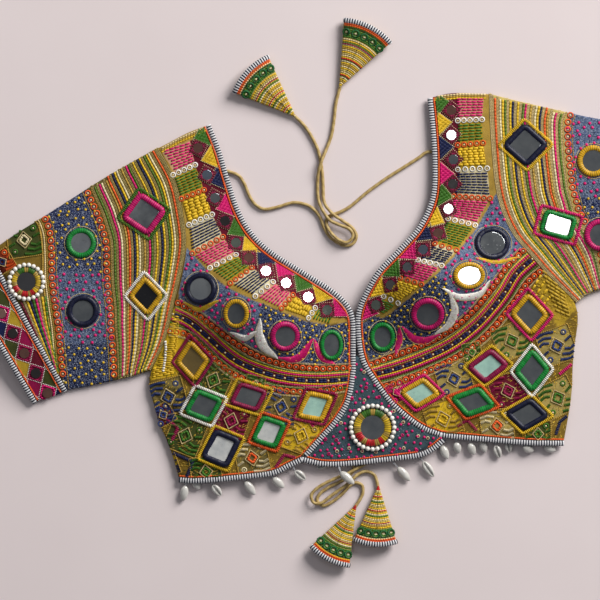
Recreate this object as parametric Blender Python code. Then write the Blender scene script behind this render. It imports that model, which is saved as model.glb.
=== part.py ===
"""Choli blouse, laid flat on a table with its front up.

Units in the tables are millimetres.  X runs across the body (left is -X), Y runs up the body,
Z is up from the table.  Every cloth piece is a wall with its own cut outline; the two fronts
are domed into cups, the sleeves are flattened tubes, and the back pieces lie under the fronts.
"""
import bpy
import bmesh
from collections import namedtuple
from math import cos, pi, radians, sin
from mathutils import Vector
from mathutils.bvhtree import BVHTree

for old in list(bpy.data.objects):
    bpy.data.objects.remove(old)

MM = 0.001

# Driving dimensions
CLOTH = 2.2             # embroidered cloth, with its backing
BACK_CLOTH = 2.0        # plainer cloth of the back and of the sleeves' undersides
SEAM = 0.3              # gap that seamed pieces keep
BINDING_HALF = 2.5      # half the width of the striped binding
BINDING_SINK = 2.4      # binding's underside below the cloth's outer face
BINDING_RISE = 1.1      # binding's crest above the cloth's outer face
FOLD_HEIGHT = 5.0       # height of a sleeve at its folded edges
FOLD_ROUND = 1.2        # how far a folded edge bulges sideways
FOLD_WALL = 2.6         # how far the hollow stays inside a folded edge
LOW_STEP = 2            # a sleeve's underside has every second point of its top
ARM_ROWS = 18           # rows of each front along the armhole
SIDE_ROWS = 10          # rows of each front along the side seam
NECK_ROWS = 20          # the same rows, counted along the neck edge
SEAM_ROWS = 8           # and down the gusset seam
FRONT_COLS = 12
GUSSET_COLS = 8
BACK_COLS = 10
SLEEVE_RINGS = 8
CORD = 3.2              # diameter of the ties
CORD_STEP = 9.0         # spacing of a tie's points
TRIM_GAP = 0.5          # a sewn-on mirror's base above the cloth
FRAME_HEIGHT = 3.8      # crest of a mirror's padded frame above the cloth
PEARL_HEIGHT = 4.6
ROUND_GLASS = 0.66      # a glass's share of its frame's size
SQUARE_GLASS = 0.62
PEARL_GLASS = 0.5
BACK_RISE = 0.7         # crest of the back hems' binding above the cloth
LEFT_JOINT = (0, 1)     # direction of the butt joint between bindings at each end of the gusset
RIGHT_JOINT = (0.24, 0.97)

Edge = namedtuple("Edge", "x y z")              # z is the outer face of the cloth
Swell = namedtuple("Swell", "x y along across turn rise")
Round = namedtuple("Round", "name on x y across up kind colour")
Square = namedtuple("Square", "name on x y ax ay bx by colour")   # half diagonals a and b
Shell = namedtuple("Shell", "root_x root_y near_x near_y near_z far_x far_y far_z")
Cone = namedtuple("Cone", "name x y heading half_angle length colour")

# Centre line of the binding: neck edge from the shoulder, then down the gusset seam to the hem
NECK_LEFT = [Edge(-127, 171, 5.0), Edge(-117, 146, 6.2), Edge(-108, 116, 7.0), Edge(-98, 86, 8.0),
             Edge(-84, 62, 10.0), Edge(-64, 43, 12.5), Edge(-34, 24, 14.5), Edge(-4, 5, 13.0),
             Edge(11, -9, 11.0), Edge(17, -22, 9.8), Edge(18, -40, 9.2), Edge(18, -60, 9.0)]
SEAM_LEFT = [Edge(18, -60, 9.0), Edge(18, -76, 9.2), Edge(13, -104, 9.8), Edge(1, -125, 10.0),
             Edge(-13, -141, 9.6), Edge(-33, -163.5, 8.8)]
NECK_RIGHT = [Edge(95, 198, 5.0), Edge(98, 168, 6.2), Edge(100, 132, 7.0), Edge(98, 98, 8.0),
              Edge(85, 69, 10.0), Edge(65, 46, 12.5), Edge(44, 24, 14.5), Edge(30, 0, 12.0),
              Edge(23.6, -18, 10.0), Edge(23.4, -38, 9.2), Edge(26.6, -60, 9.0)]
SEAM_RIGHT = [Edge(26.6, -60, 9.0), Edge(34, -76, 9.2), Edge(54, -104, 9.8), Edge(72, -121, 10.0),
              Edge(88, -132, 9.6), Edge(106, -139, 8.8)]

# Armhole seam, from the top fold of the sleeve down to the armpit
ARM_LEFT = [Edge(-177, 148, 5.0), Edge(-160, 116, 8.0), Edge(-152, 81, 11.5), Edge(-149, 54, 13.5),
            Edge(-153, 26, 14.5), Edge(-160, -4, 13.5), Edge(-170, -44, 9.0), Edge(-184, -74, 5.0)]
ARM_RIGHT = [Edge(154, 202, 5.0), Edge(155, 171, 7.5), Edge(157, 141, 10.5), Edge(160, 111, 13.0),
             Edge(166, 86, 14.0), Edge(178, 61, 14.5), Edge(195, 41, 14.0), Edge(213, 21, 10.5),
             Edge(241, -6, 5.0)]
SIDE_LEFT = [Edge(-184, -74, 5.0), Edge(-187, -84, 5.0), Edge(-185, -96, 5.0),
             Edge(-176, -127, 5.0), Edge(-165, -153, 5.0), Edge(-156, -184, 5.0)]
SIDE_RIGHT = [Edge(241, -6, 5.0), Edge(244, -20, 5.0), Edge(242, -38, 5.0), Edge(238.5, -60, 5.0),
              Edge(237, -100, 5.0), Edge(229, -147, 5.0)]

# Shoulder edges, from the neck out, and hem edges, from the gusset out
SHOULDER_LEFT = [Edge(-130, 170, 5.0), Edge(-148, 163, 5.0), Edge(-167, 153, 5.0),
                 Edge(-177, 148, 5.0)]
SHOULDER_RIGHT = [Edge(98, 199, 5.0), Edge(118, 203, 5.0), Edge(154, 202, 5.0)]
HEM_LEFT = [Edge(-33, -163.5, 8.8), Edge(-47, -170, 8.8), Edge(-62, -177, 8.8),
            Edge(-92, -181, 8.8), Edge(-136, -184.8, 8.7), Edge(-156, -184, 5.6)]
HEM_RIGHT = [Edge(106, -139, 8.8), Edge(124, -141, 8.8), Edge(188, -146.5, 8.8),
             Edge(215, -147.2, 8.6), Edge(229, -147.5, 5.6)]
HEM_CENTRE = [Edge(-33, -163.5, 8.8), Edge(-12, -168, 8.8), Edge(15, -167.5, 8.8),
              Edge(60, -162.5, 8.8), Edge(85, -159, 8.8), Edge(99, -152, 8.8), Edge(109, -143.5, 8.8)]

# Back pieces: neckline from the shoulder, down to and along the centre edge; hem from the centre out
BACK_NECK_LEFT = [Edge(-130, 167, 2.0), Edge(-120, 144, 2.0), Edge(-115, 124, 2.0),
                  Edge(-118, 80, 2.0), Edge(-117, 30, 2.0), Edge(-104, -24, 2.0),
                  Edge(-76, -68, 2.0), Edge(-40, -100, 2.0), Edge(4, -122, 2.0), Edge(8, -154, 2.0)]
BACK_NECK_RIGHT = [Edge(99, 195, 2.0), Edge(101, 168, 2.0), Edge(104, 140, 2.0),
                   Edge(110, 92, 2.0), Edge(116, 44, 2.0), Edge(112, 0, 2.0),
                   Edge(98, -50, 2.0), Edge(74, -88, 2.0), Edge(44, -120, 2.0), Edge(43, -154, 2.0)]
BACK_HEM_LEFT = [Edge(8, -158, 2.0), Edge(-32, -158, 2.0), Edge(-92, -175, 2.0),
                 Edge(-136, -179, 2.0), Edge(-153, -179, 2.0)]
BACK_HEM_RIGHT = [Edge(43, -158, 2.0), Edge(84, -151, 2.0), Edge(106, -138, 2.0),
                  Edge(160, -138, 2.0), Edge(226, -143, 2.0)]

# Sleeve folds: upper and lower edge from the armhole to the cuff's seam, then on to the hem
SLEEVE_UPPER_LEFT = [Edge(-177, 148, 5.0), Edge(-195, 138, 5.0), Edge(-235, 115, 5.0),
                     Edge(-275, 89, 5.0), Edge(-315, 64, 5.0), Edge(-347, 42, 5.0)]
SLEEVE_LOWER_LEFT = [Edge(-184, -74, 5.0), Edge(-215, -82, 5.0), Edge(-247, -89, 5.0),
                     Edge(-271, -94.5, 5.0)]
SLEEVE_UPPER_RIGHT = [Edge(154, 202, 5.0), Edge(185, 194, 5.0), Edge(225, 185, 5.0),
                      Edge(265, 176, 5.0), Edge(305, 172, 5.0), Edge(335, 171, 5.0)]
SLEEVE_LOWER_RIGHT = [Edge(241, -6, 5.0), Edge(255, 5, 5.0), Edge(272, 10, 5.0),
                      Edge(305, 16, 5.0), Edge(348, 20, 5.0)]
CUFF_HEM_LEFT = (Vector((-377, 23)), Vector((-301, -106)))      # upper and lower corner
CUFF_HEM_RIGHT = (Vector((366, 171)), Vector((377, 25)))
CUFF_RISE = 9.0         # cuff's crown above its folded edges
CUFF_ROWS = 8
PIPING_CREST = 0.9

# Swells of the cloth: the two cups, then the larger folds
FRONT_SWELLS = {
    "left": [Swell(-78, -14, 84, 66, -28, 25), Swell(-124, -92, 46, 13, -52, 2.4),
             Swell(-60, -124, 60, 16, -12, 1.8), Swell(-138, 100, 34, 14, 70, 1.6)],
    "right": [Swell(107, 12, 84, 64, 24, 25), Swell(196, -70, 50, 13, 68, 2.4),
              Swell(130, -106, 60, 15, 10, 1.8), Swell(132, 120, 40, 12, 88, 1.6)],
}
SLEEVE_SWELLS = {
    "left": [Swell(-214, 60, 70, 14, 80, 2.2), Swell(-240, -40, 60, 12, 28, 2.4),
             Swell(-290, 10, 60, 12, 60, 1.8)],
    "right": [Swell(206, 120, 70, 13, 100, 2.2), Swell(262, 58, 60, 12, -14, 2.4),
              Swell(300, 110, 60, 12, 86, 1.8)],
}

ROUND_MIRRORS = [
    Round("mirror_fl_round_1", "front_left", -134, 7, 16, 16, "ring", "navy"),
    Round("mirror_fl_round_2", "front_left", -98.5, -17.5, 12.8, 14.8, "ring", "yellow"),
    Round("mirror_fl_round_3", "front_left", -50, -40, 14.7, 14.7, "ring", "pink"),
    Round("mirror_fl_round_4", "front_left", -3.5, -49, 11.5, 16, "ring", "green"),
    Round("mirror_fr_round_1", "front_right", 157, 52.5, 18, 16.5, "ring", "navy"),
    Round("mirror_fr_round_2", "front_right", 133.5, 20.5, 16.5, 13.5, "ring", "yellow"),
    Round("mirror_fr_round_3", "front_right", 92.5, -18, 16.5, 16, "ring", "pink"),
    Round("mirror_fr_round_4", "front_right", 47.5, -41, 12.5, 15, "ring", "green"),
    Round("mirror_sl_round_1", "sleeve_left", -254, 53, 15, 15, "ring", "green"),
    Round("mirror_sl_round_2", "sleeve_left", -252, -15, 16, 16, "ring", "navy"),
    Round("mirror_sr_round_1", "sleeve_right", 258, 135, 16, 16, "ring", "yellow"),
    Round("mirror_sr_round_2", "sleeve_right", 265, 61, 16, 16, "ring", "pink"),
    Round("mirror_sl_pearl", "sleeve_left", -308.5, 14, 18.5, 18.5, "pearl", "green"),
    Round("mirror_sr_pearl", "sleeve_right", 314, 131, 18.5, 18.5, "pearl", "green"),
    Round("mirror_gusset_pearl", "front_gusset", 37.5, -131.5, 23.5, 23.5, "pearl", "red"),
]
SQUARE_MIRRORS = [
    Square("mirror_fl_square_1", "front_left", -142.5, -65, -2, 20.5, 16, 1, "yellow"),
    Square("mirror_fl_square_2", "front_left", -131.5, -110, -6.5, 16, 18.5, 6, "green"),
    Square("mirror_fl_square_3", "front_left", -86.5, -101, -8.5, 14, 18.5, 5.5, "maroon"),
    Square("mirror_fl_square_4", "front_left", -20, -110.5, -7, 14.5, 17.5, 9.5, "yellow"),
    Square("mirror_fl_square_5", "front_left", -66, -136, -6, 15.5, 16.5, 8, "green"),
    Square("mirror_fl_square_6", "front_left", -114, -152.5, -5.5, 18.5, 19, 8.5, "navy"),
    Square("mirror_fr_square_1", "front_right", 194.5, -18.5, -1.5, 21, 18.5, -0.5, "yellow"),
    Square("mirror_fr_square_2", "front_right", 197, -74.5, 0, 21, 17, 1, "green"),
    Square("mirror_fr_square_3", "front_right", 153, -70, 3, 16.5, 20, 1, "maroon"),
    Square("mirror_fr_square_4", "front_right", 85, -97, 3.5, 14.5, 19.5, -1, "yellow"),
    Square("mirror_fr_square_5", "front_right", 138, -106, 6, 14, 21.5, -4, "green"),
    Square("mirror_fr_square_6", "front_right", 192, -118.5, 3.5, 15.5, 21, -1.5, "navy"),
    Square("mirror_sl_square_1", "sleeve_left", -191, 82, -4, 21, 21.5, 3.5, "pink"),
    Square("mirror_sl_square_2", "sleeve_left", -189, 0, -1.5, 19, 16.5, 0.5, "yellow"),
    Square("mirror_sr_square_1", "sleeve_right", 190.5, 151, -1, 21, 22, 0.5, "navy"),
    Square("mirror_sr_square_2", "sleeve_right", 223, 71, -12.5, 15, 18.5, 6.5, "green"),
]

# Cowrie shells on thread loops: root in the binding, then the shell's near and far end
SHELLS = {
    "hem_binding_front_left": [
        Shell(-149, -185, -149.5, -190, 5.2, -152.5, -205, 3.4),
        Shell(-124, -184, -122.5, -189, 5.6, -114, -200, 3.4),
        Shell(-92, -181, -90, -185.5, 5.6, -80, -199, 3.4),
        Shell(-66, -177.5, -62, -182, 5.6, -51, -192, 3.4),
        Shell(-43, -169, -40, -175, 5.6, -29.5, -184, 3.4)],
    "hem_binding_centre": [
        Shell(3, -168, 5.5, -176, 10.4, 19, -188, 10.4),
        Shell(55, -163, 63, -171.5, 4.6, 75, -185, 3.4),
        Shell(84, -159, 88, -165.5, 4.6, 99, -181, 3.4)],
    "hem_binding_front_right": [
        Shell(121, -141, 121, -146.5, 5.6, 124, -157.5, 3.4),
        Shell(135, -142, 134.5, -147.5, 5.6, 139.5, -159, 3.4),
        Shell(160, -144.5, 160.5, -149.5, 5.6, 165, -162, 3.4),
        Shell(187, -146.3, 188, -151, 5.4, 199, -155, 3.6)],
    "hem_binding_back_left": [
        Shell(-141, -179, -141, -184, 3.2, -136, -193.5, 3.2),
        Shell(-8, -158, -3, -165, 3.2, -18, -172.5, 3.2)],
    "hem_binding_back_right": [
        Shell(106, -138, 106.5, -149.5, 3.2, 113, -163, 3.2),
        Shell(147, -137.5, 147, -145, 3.2, 150.5, -156.5, 3.2),
        Shell(173, -139, 173, -145.5, 3.2, 174.5, -156.5, 3.2),
        Shell(210, -142, 209, -150.5, 3.2, 221, -154.5, 3.2)],
}
SHELL_RINGS = [(0.0, 1.0), (0.12, 2.9), (0.42, 4.2), (0.78, 3.2), (1.0, 1.0)]   # along, half width
SHELL_FLATNESS = 0.7

# Ties: each route runs from the cloth, through the bow, to the cone on its end
ROUTES = {
    "neck_tie_left": [
        Edge(-114.2, 127, 1.8), Edge(-98, 121.5, 1.8), Edge(-91, 113, 1.8), Edge(-86, 101, 1.8),
        Edge(-80, 92, 1.8), Edge(-71, 87, 1.8), Edge(-58, 89, 1.8), Edge(-42, 93.5, 1.8),
        Edge(-29, 91.5, 1.8), Edge(-21, 86.5, 1.8), Edge(-15, 79, 1.8), Edge(-11.5, 70, 1.8),
        Edge(-6.5, 61, 1.8), Edge(1, 54.5, 1.8), Edge(10, 50.5, 1.8), Edge(18, 52.5, 1.8),
        Edge(21.5, 60, 1.8), Edge(17.5, 68, 1.8), Edge(9, 74.5, 2.8), Edge(0.5, 80, 5.3),
        Edge(-5, 85, 5.5), Edge(-9.5, 91, 4.4), Edge(-11.5, 98, 2.6), Edge(-11.8, 108, 1.8),
        Edge(-12.5, 121, 1.8), Edge(-14, 133, 1.8), Edge(-17, 146, 1.8), Edge(-23, 159, 1.8),
        Edge(-31, 171, 1.8), Edge(-41.7, 181.5, 2.4)],
    "neck_tie_right": [
        Edge(102.6, 144, 1.8), Edge(92, 144, 1.8), Edge(84, 138.5, 1.8), Edge(69, 129, 1.8),
        Edge(51, 117.5, 1.8), Edge(33, 104.5, 1.8), Edge(17, 91, 1.8), Edge(8, 85.5, 1.8),
        Edge(0, 82.2, 1.8), Edge(-6.5, 79.5, 1.8), Edge(-8.5, 74, 2.6), Edge(-7, 68, 4.0),
        Edge(-2, 61, 5.3), Edge(5, 55.5, 5.4), Edge(12.5, 53.8, 5.4), Edge(18, 60, 5.4),
        Edge(14.5, 67, 5.4), Edge(5, 71, 5.5), Edge(-4.5, 75.5, 5.7), Edge(-10, 82, 5.4),
        Edge(-14.2, 89.5, 4.4), Edge(-16.6, 97, 2.6), Edge(-17.4, 106, 1.8), Edge(-17.3, 114, 1.8),
        Edge(-16.8, 122, 3.4), Edge(-15, 130, 5.5), Edge(-12.6, 137, 5.5), Edge(-9.4, 145, 3.4),
        Edge(-5.8, 154, 1.8),
        Edge(-3, 163, 1.8), Edge(-0.7, 178, 1.8), Edge(1, 193, 1.8), Edge(5.6, 211.1, 2.4)],
    "waist_tie_left": [
        Edge(9.5, -157, 1.8), Edge(14, -160.5, 1.8), Edge(18.5, -167, 1.8), Edge(18.5, -174, 1.8),
        Edge(13, -181, 1.8), Edge(4, -186.5, 1.8), Edge(-7, -192, 1.8), Edge(-15.5, -198.5, 1.8),
        Edge(-17.5, -205.5, 1.8), Edge(-11.5, -210, 1.8), Edge(-2, -205.5, 1.8),
        Edge(8, -197.5, 1.8), Edge(14, -190.8, 1.8), Edge(20.5, -187, 1.8), Edge(27, -189.5, 1.8),
        Edge(28, -196.5, 1.8), Edge(25.5, -203, 1.8), Edge(20.05, -211.35, 2.4)],
    "waist_tie_right": [
        Edge(41.2, -157, 1.8), Edge(35, -164, 2.2), Edge(28, -169.5, 3.8), Edge(21, -173, 5.3),
        Edge(13, -177.5, 5.3), Edge(3, -181.5, 5.3), Edge(-9, -187, 5.3), Edge(-18, -192.5, 5.3),
        Edge(-23.8, -199.5, 5.3), Edge(-21, -207, 5.3), Edge(-13, -206.8, 5.3), Edge(-4, -200, 5.3),
        Edge(6, -193, 5.3), Edge(15, -186, 5.3), Edge(21, -180, 5.0), Edge(28, -176, 3.2),
        Edge(35, -176.5, 1.8), Edge(40.5, -181, 1.8), Edge(43.3, -191.9, 2.4)],
}
CONES = [
    Cone("neck_cone_left", -39, 179, 136.6, 22.2, 68, "ochre"),
    Cone("neck_cone_right", 4, 208, 85.9 - 22.4, 22.4, 70, "ochre"),
    Cone("waist_cone_left", 21.5, -208.5, 243, 20.5, 63, "ochre"),
    Cone("waist_cone_right", 43.5, -189, 266.8, 21, 61, "ochre"),
]
CONE_APEX = 2.0         # half height of a cone at its tip
CONE_MOUTH = 6.0        # half height at its open end
CONE_WALL = 1.8
CONE_RECESS = 12.0      # depth of the open end

COLOURS = {
    "embroidery": (0.50, 0.30, 0.12), "back": (0.34, 0.24, 0.14), "teal": (0.10, 0.14, 0.20),
    "binding": (0.45, 0.44, 0.47), "cord": (0.55, 0.40, 0.18), "ochre": (0.60, 0.42, 0.08),
    "navy": (0.02, 0.03, 0.12), "yellow": (0.85, 0.52, 0.03), "pink": (0.70, 0.02, 0.20),
    "green": (0.02, 0.28, 0.08), "maroon": (0.30, 0.01, 0.06), "red": (0.60, 0.02, 0.03),
}


# ---------------------------------------------------------------- curves and outlines

def along_curve(rows, count):
    """Points at equal steps along a smooth curve through the rows."""
    rows = [Vector(row) for row in rows]
    padded = [2 * rows[0] - rows[1]] + rows + [2 * rows[-1] - rows[-2]]
    dense = []
    steps = 12
    for i in range(1, len(padded) - 2):
        before, start, end, after = padded[i - 1:i + 3]
        for k in range(steps):
            u = k / steps
            dense.append(0.5 * (2 * start + (end - before) * u
                                + (2 * before - 5 * start + 4 * end - after) * u ** 2
                                + (3 * start - before - 3 * end + after) * u ** 3))
    dense.append(rows[-1])
    return at_equal_steps(dense, count)


def at_equal_steps(dense, count):
    """Resample a polyline at equal distances."""
    lengths = [0.0]
    for a, b in zip(dense, dense[1:]):
        lengths.append(lengths[-1] + (b - a).length)
    points = []
    i = 0
    for k in range(count + 1):
        target = lengths[-1] * k / count
        while i < len(dense) - 2 and lengths[i + 1] < target:
            i += 1
        span = lengths[i + 1] - lengths[i]
        points.append(dense[i].lerp(dense[i + 1], (target - lengths[i]) / span))
    return points


def curve_length(points):
    return sum((b - a).length for a, b in zip(points, points[1:]))


def side_steps(points):
    """Mitred unit steps to the left of the travel along a line, in the table's plane."""
    normals = []
    for a, b in zip(points, points[1:]):
        run = (b - a).to_2d().normalized()
        normals.append(Vector((-run.y, run.x)))
    steps = [normals[0]]
    for first, second in zip(normals, normals[1:]):
        steps.append((first + second) / (1 + first.dot(second)))
    steps.append(normals[-1])
    return [Vector((step.x, step.y, 0)) for step in steps]


def offset(points, distance):
    return [p + step * distance for p, step in zip(points, side_steps(points))]


def swelling(x, y, swells):
    """Height that a list of swells adds at a place."""
    total = 0.0
    for s in swells:
        turn = radians(s.turn)
        along = ((x - s.x) * cos(turn) + (y - s.y) * sin(turn)) / s.along
        across = ((y - s.y) * cos(turn) - (x - s.x) * sin(turn)) / s.across
        reach = along ** 2 + across ** 2
        if reach < 1:
            total += s.rise * (1 - reach) ** 1.6
    return total


def ease(value):
    value = max(0.0, min(1.0, value))
    return value * value * (3 - 2 * value)


# ---------------------------------------------------------------- objects and materials

parts = bpy.data.collections.new("choli_blouse")
bpy.context.scene.collection.children.link(parts)


def material(colour, roughness=0.8, metallic=0.0):
    name = f"{colour}_{roughness}_{metallic}"
    if name in bpy.data.materials:
        return bpy.data.materials[name]
    mat = bpy.data.materials.new(name)
    mat.use_nodes = True
    shader = mat.node_tree.nodes["Principled BSDF"]
    shader.inputs["Base Color"].default_value = (*COLOURS[colour], 1)
    shader.inputs["Roughness"].default_value = roughness
    shader.inputs["Metallic"].default_value = metallic
    mat.diffuse_color = (*COLOURS[colour], 1)
    return mat


def place(name, verts, faces, mat):
    """A closed body from points in millimetres, its faces turned outwards."""
    mesh = bpy.data.meshes.new(name)
    mesh.from_pydata([tuple(v * MM) for v in verts], [], faces)
    work = bmesh.new()
    work.from_mesh(mesh)
    bmesh.ops.recalc_face_normals(work, faces=work.faces)
    work.to_mesh(mesh)
    work.free()
    obj = bpy.data.objects.new(name, mesh)
    mesh.materials.append(mat)
    mesh.shade_smooth()
    mesh.set_sharp_from_angle(angle=radians(35))
    parts.objects.link(obj)
    return obj


def loft(rings, closed=True):
    """Faces that join rings of equal count, with flat caps on the first and last."""
    n = len(rings[0])
    verts = [v for ring in rings for v in ring]
    faces = []
    for r in range(len(rings) - 1):
        for i in range(n):
            j = (i + 1) % n
            faces.append((r * n + i, r * n + j, (r + 1) * n + j, (r + 1) * n + i))
    if closed:
        faces.append(tuple(range(n)))
        last = (len(rings) - 1) * n
        faces.append(tuple(last + i for i in range(n)))
    return verts, faces


def wall(name, grid, thickness, mat):
    """A cloth wall: the grid is its outer face, and the inner face lies below it."""
    rows, cols = len(grid), len(grid[0])
    outer = [v for row in grid for v in row]
    inner = [v - Vector((0, 0, thickness)) for v in outer]
    size = rows * cols
    faces = []
    for r in range(rows - 1):
        for c in range(cols - 1):
            a = r * cols + c
            quad = (a, a + 1, a + cols + 1, a + cols)
            faces.append(quad)
            faces.append(tuple(size + i for i in reversed(quad)))
    rim = [c for c in range(cols)]
    rim += [r * cols + cols - 1 for r in range(1, rows)]
    rim += [(rows - 1) * cols + c for c in range(cols - 2, -1, -1)]
    rim += [r * cols for r in range(rows - 2, 0, -1)]
    for a, b in zip(rim, rim[1:] + rim[:1]):
        faces.append((a, b, size + b, size + a))
    return place(name, outer + inner, faces, mat)


def panel_grid(inner, outer, top, bottom, cols, swells=()):
    """Rows ruled from the inner to the outer edge, bent to the top and bottom edges."""
    rows = len(inner) - 1
    grid = []
    for r in range(rows + 1):
        t = r / rows
        row = []
        for c in range(cols + 1):
            w = c / cols
            point = inner[r].lerp(outer[r], w)
            if top:
                point = point + (top[c] - inner[0].lerp(outer[0], w)) * (1 - t) ** 5
            if bottom:
                point = point + (bottom[c] - inner[-1].lerp(outer[-1], w)) * t ** 5
            free = ease(w / 0.2) * ease((1 - w) / 0.14) * ease(t / 0.1) * ease((1 - t) / 0.12)
            point.z += free * swelling(point.x, point.y, swells)
            row.append(point)
        grid.append(row)
    return grid


def crossing(a, b, c, d):
    """Where the line a-b meets the line c-d in plan, at a's height; b where they run together."""
    first, second = (b - a).to_2d(), (d - c).to_2d()
    spread = first.x * second.y - first.y * second.x
    if abs(spread) < 0.3 * first.length * second.length:
        return b.copy()
    gap = (c - a).to_2d()
    share = (gap.x * second.y - gap.y * second.x) / spread
    return Vector((a.x + first.x * share, a.y + first.y * share, b.z))


# ---------------------------------------------------------------- fronts, gusset and backs

def front_panel(name, neck, seam, arm, side, shoulder, hem, turn, swells):
    """turn is +1 where the cloth lies to the left of a walk down the neck edge, else -1."""
    clear = BINDING_HALF + SEAM
    inner_line = along_curve(neck, NECK_ROWS)[:-1] + along_curve(seam, SEAM_ROWS)
    outer_line = along_curve(arm, ARM_ROWS)[:-1] + along_curve(side, SIDE_ROWS)
    hem_line = along_curve(hem, FRONT_COLS)
    top = along_curve(shoulder, FRONT_COLS)
    bottom = offset(hem_line, turn * clear)
    inner = offset(inner_line, turn * clear)
    outer = offset(outer_line, -turn * SEAM)
    outer[0] = top[-1] - Vector((turn * SEAM, 0, 0))
    inner[0], top[-1] = top[0], outer[0]
    inner[-1] = crossing(inner[-2], inner[-1], bottom[1], bottom[0])
    outer[-1] = crossing(outer[-2], outer[-1], bottom[-2], bottom[-1])
    bottom[0], bottom[-1] = inner[-1], outer[-1]
    grid = panel_grid(inner, outer, top, bottom, FRONT_COLS, swells)
    wall(name, grid, CLOTH, material("embroidery"))
    return inner_line, hem_line


def gusset_panel(left_line, right_line):
    """The pointed piece between the two seams, open below the V of the neck."""
    clear = BINDING_HALF + SEAM
    hem_line = along_curve(HEM_CENTRE, GUSSET_COLS)
    bottom = offset(hem_line, clear)
    left = offset(left_line, clear)
    right = offset(right_line, -clear)
    left[-1] = crossing(left[-2], left[-1], bottom[1], bottom[0])
    right[-1] = crossing(right[-2], right[-1], bottom[-2], bottom[-1])
    bottom[0], bottom[-1] = left[-1], right[-1]
    grid = panel_grid(left, right, None, bottom, GUSSET_COLS)
    wall("front_gusset", grid, CLOTH, material("teal"))
    return hem_line


def back_panel(name, neck, arm, side, hem, turn):
    """A flat piece: its sleeve edge has every second point of the armhole."""
    arm_rows, side_rows = ARM_ROWS // 2, SIDE_ROWS // 2
    neck_line = along_curve(neck, arm_rows + side_rows)
    outer_line = along_curve(arm, ARM_ROWS)[:-1:2] + along_curve(side, side_rows)
    hem_line = along_curve(hem, BACK_COLS)
    bottom = offset(hem_line, turn * (BINDING_HALF + SEAM))
    outer = [Vector((p.x, p.y, BACK_CLOTH)) for p in offset(outer_line, -turn * SEAM)]
    outer[-1] = bottom[-1]
    bottom[0] = neck_line[-1]
    grid = panel_grid(neck_line, outer, None, bottom, BACK_COLS)
    wall(name, grid, BACK_CLOTH, material("back"))
    return hem_line


def binding(path, rise=BINDING_RISE, sink=BINDING_SINK, end_sides=(None, None)):
    """A corded strip on a path: five-sided, flat below and crested above."""
    steps = side_steps(path)
    for k, side in zip((0, -1), end_sides):
        if side is not None:
            steps[k] = side
    rings = []
    for p, step in zip(path, steps):
        left, right = p + step * BINDING_HALF, p - step * BINDING_HALF
        low = Vector((0, 0, -sink))
        shoulder = Vector((0, 0, rise * 0.2))
        rings.append([left + low, right + low, right + shoulder,
                      p + Vector((0, 0, rise)), left + shoulder])
    return loft(rings)


def cut_back(path, distance):
    """The path without its last stretch of the given length."""
    points = list(path)
    while (points[-1] - points[-2]).length <= distance:
        distance -= (points[-1] - points[-2]).length
        points.pop()
    run = (points[-1] - points[-2]).normalized()
    points[-1] = points[-1] - run * distance
    return points


def cap_along(path, end, edge):
    """Side step that lays a binding's end parallel to an edge's direction."""
    run = (path[1] - path[0]) if end == 0 else (path[-1] - path[-2])
    run = run.to_2d().normalized()
    edge = Vector(edge).normalized()
    edge = edge / edge.dot(Vector((-run.y, run.x)))
    return Vector((edge.x, edge.y, 0))


# ---------------------------------------------------------------- shells on the hems

def spindle(root, near, far):
    """A cowrie and its thread as one body, lofted from six-sided rings."""
    thread = 0.9
    centres = [(root, thread, (near - root)), (near.lerp(root, 0.15), thread, (near - root))]
    for along, half in SHELL_RINGS:
        centres.append((near.lerp(far, along), half, (far - near)))
    rings = []
    for centre, half, run in centres:
        run = run.to_2d().normalized()
        side = Vector((-run.y, run.x, 0))
        tall = half if half <= thread else max(thread, half * SHELL_FLATNESS)
        rings.append([centre + side * half * cos(pi * k / 3) + Vector((0, 0, tall * sin(pi * k / 3)))
                      for k in range(6)])
    return loft(rings)


def join_shells(hem, shells):
    """Unite the shells with their binding, so each hem is one body."""
    surface = hem.data.copy()
    for k, shell in enumerate(shells):
        near = Vector((shell.near_x, shell.near_y, shell.near_z))
        far = Vector((shell.far_x, shell.far_y, shell.far_z))
        root = Vector((shell.root_x, shell.root_y, 0))
        root.z = middle_height(surface, root)
        verts, faces = spindle(root, near, far)
        cutter = place(f"{hem.name}_shell_{k}", verts, faces, material("binding"))
        union = hem.modifiers.new("shell", "BOOLEAN")
        union.operation = "UNION"
        union.object = cutter
        parts.objects.unlink(cutter)
        bpy.context.scene.collection.objects.link(cutter)
        bpy.context.view_layer.update()
        evaluated = hem.evaluated_get(bpy.context.evaluated_depsgraph_get())
        mesh = bpy.data.meshes.new_from_object(evaluated)
        hem.modifiers.clear()
        hem.data = mesh
        bpy.data.objects.remove(cutter)
    work = bmesh.new()
    work.from_mesh(hem.data)
    bmesh.ops.remove_doubles(work, verts=work.verts, dist=0.00002)
    bmesh.ops.recalc_face_normals(work, faces=work.faces)
    work.to_mesh(hem.data)
    work.free()


def middle_height(mesh, spot):
    """Middle of the binding's thickness next to a place, from its five nearest points."""
    flat = (spot * MM).to_2d()
    near = sorted((v.co for v in mesh.vertices), key=lambda co: (co.to_2d() - flat).length)[:5]
    return sum(co.z for co in near) / len(near) / MM


# ---------------------------------------------------------------- sleeves and cuffs

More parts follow.
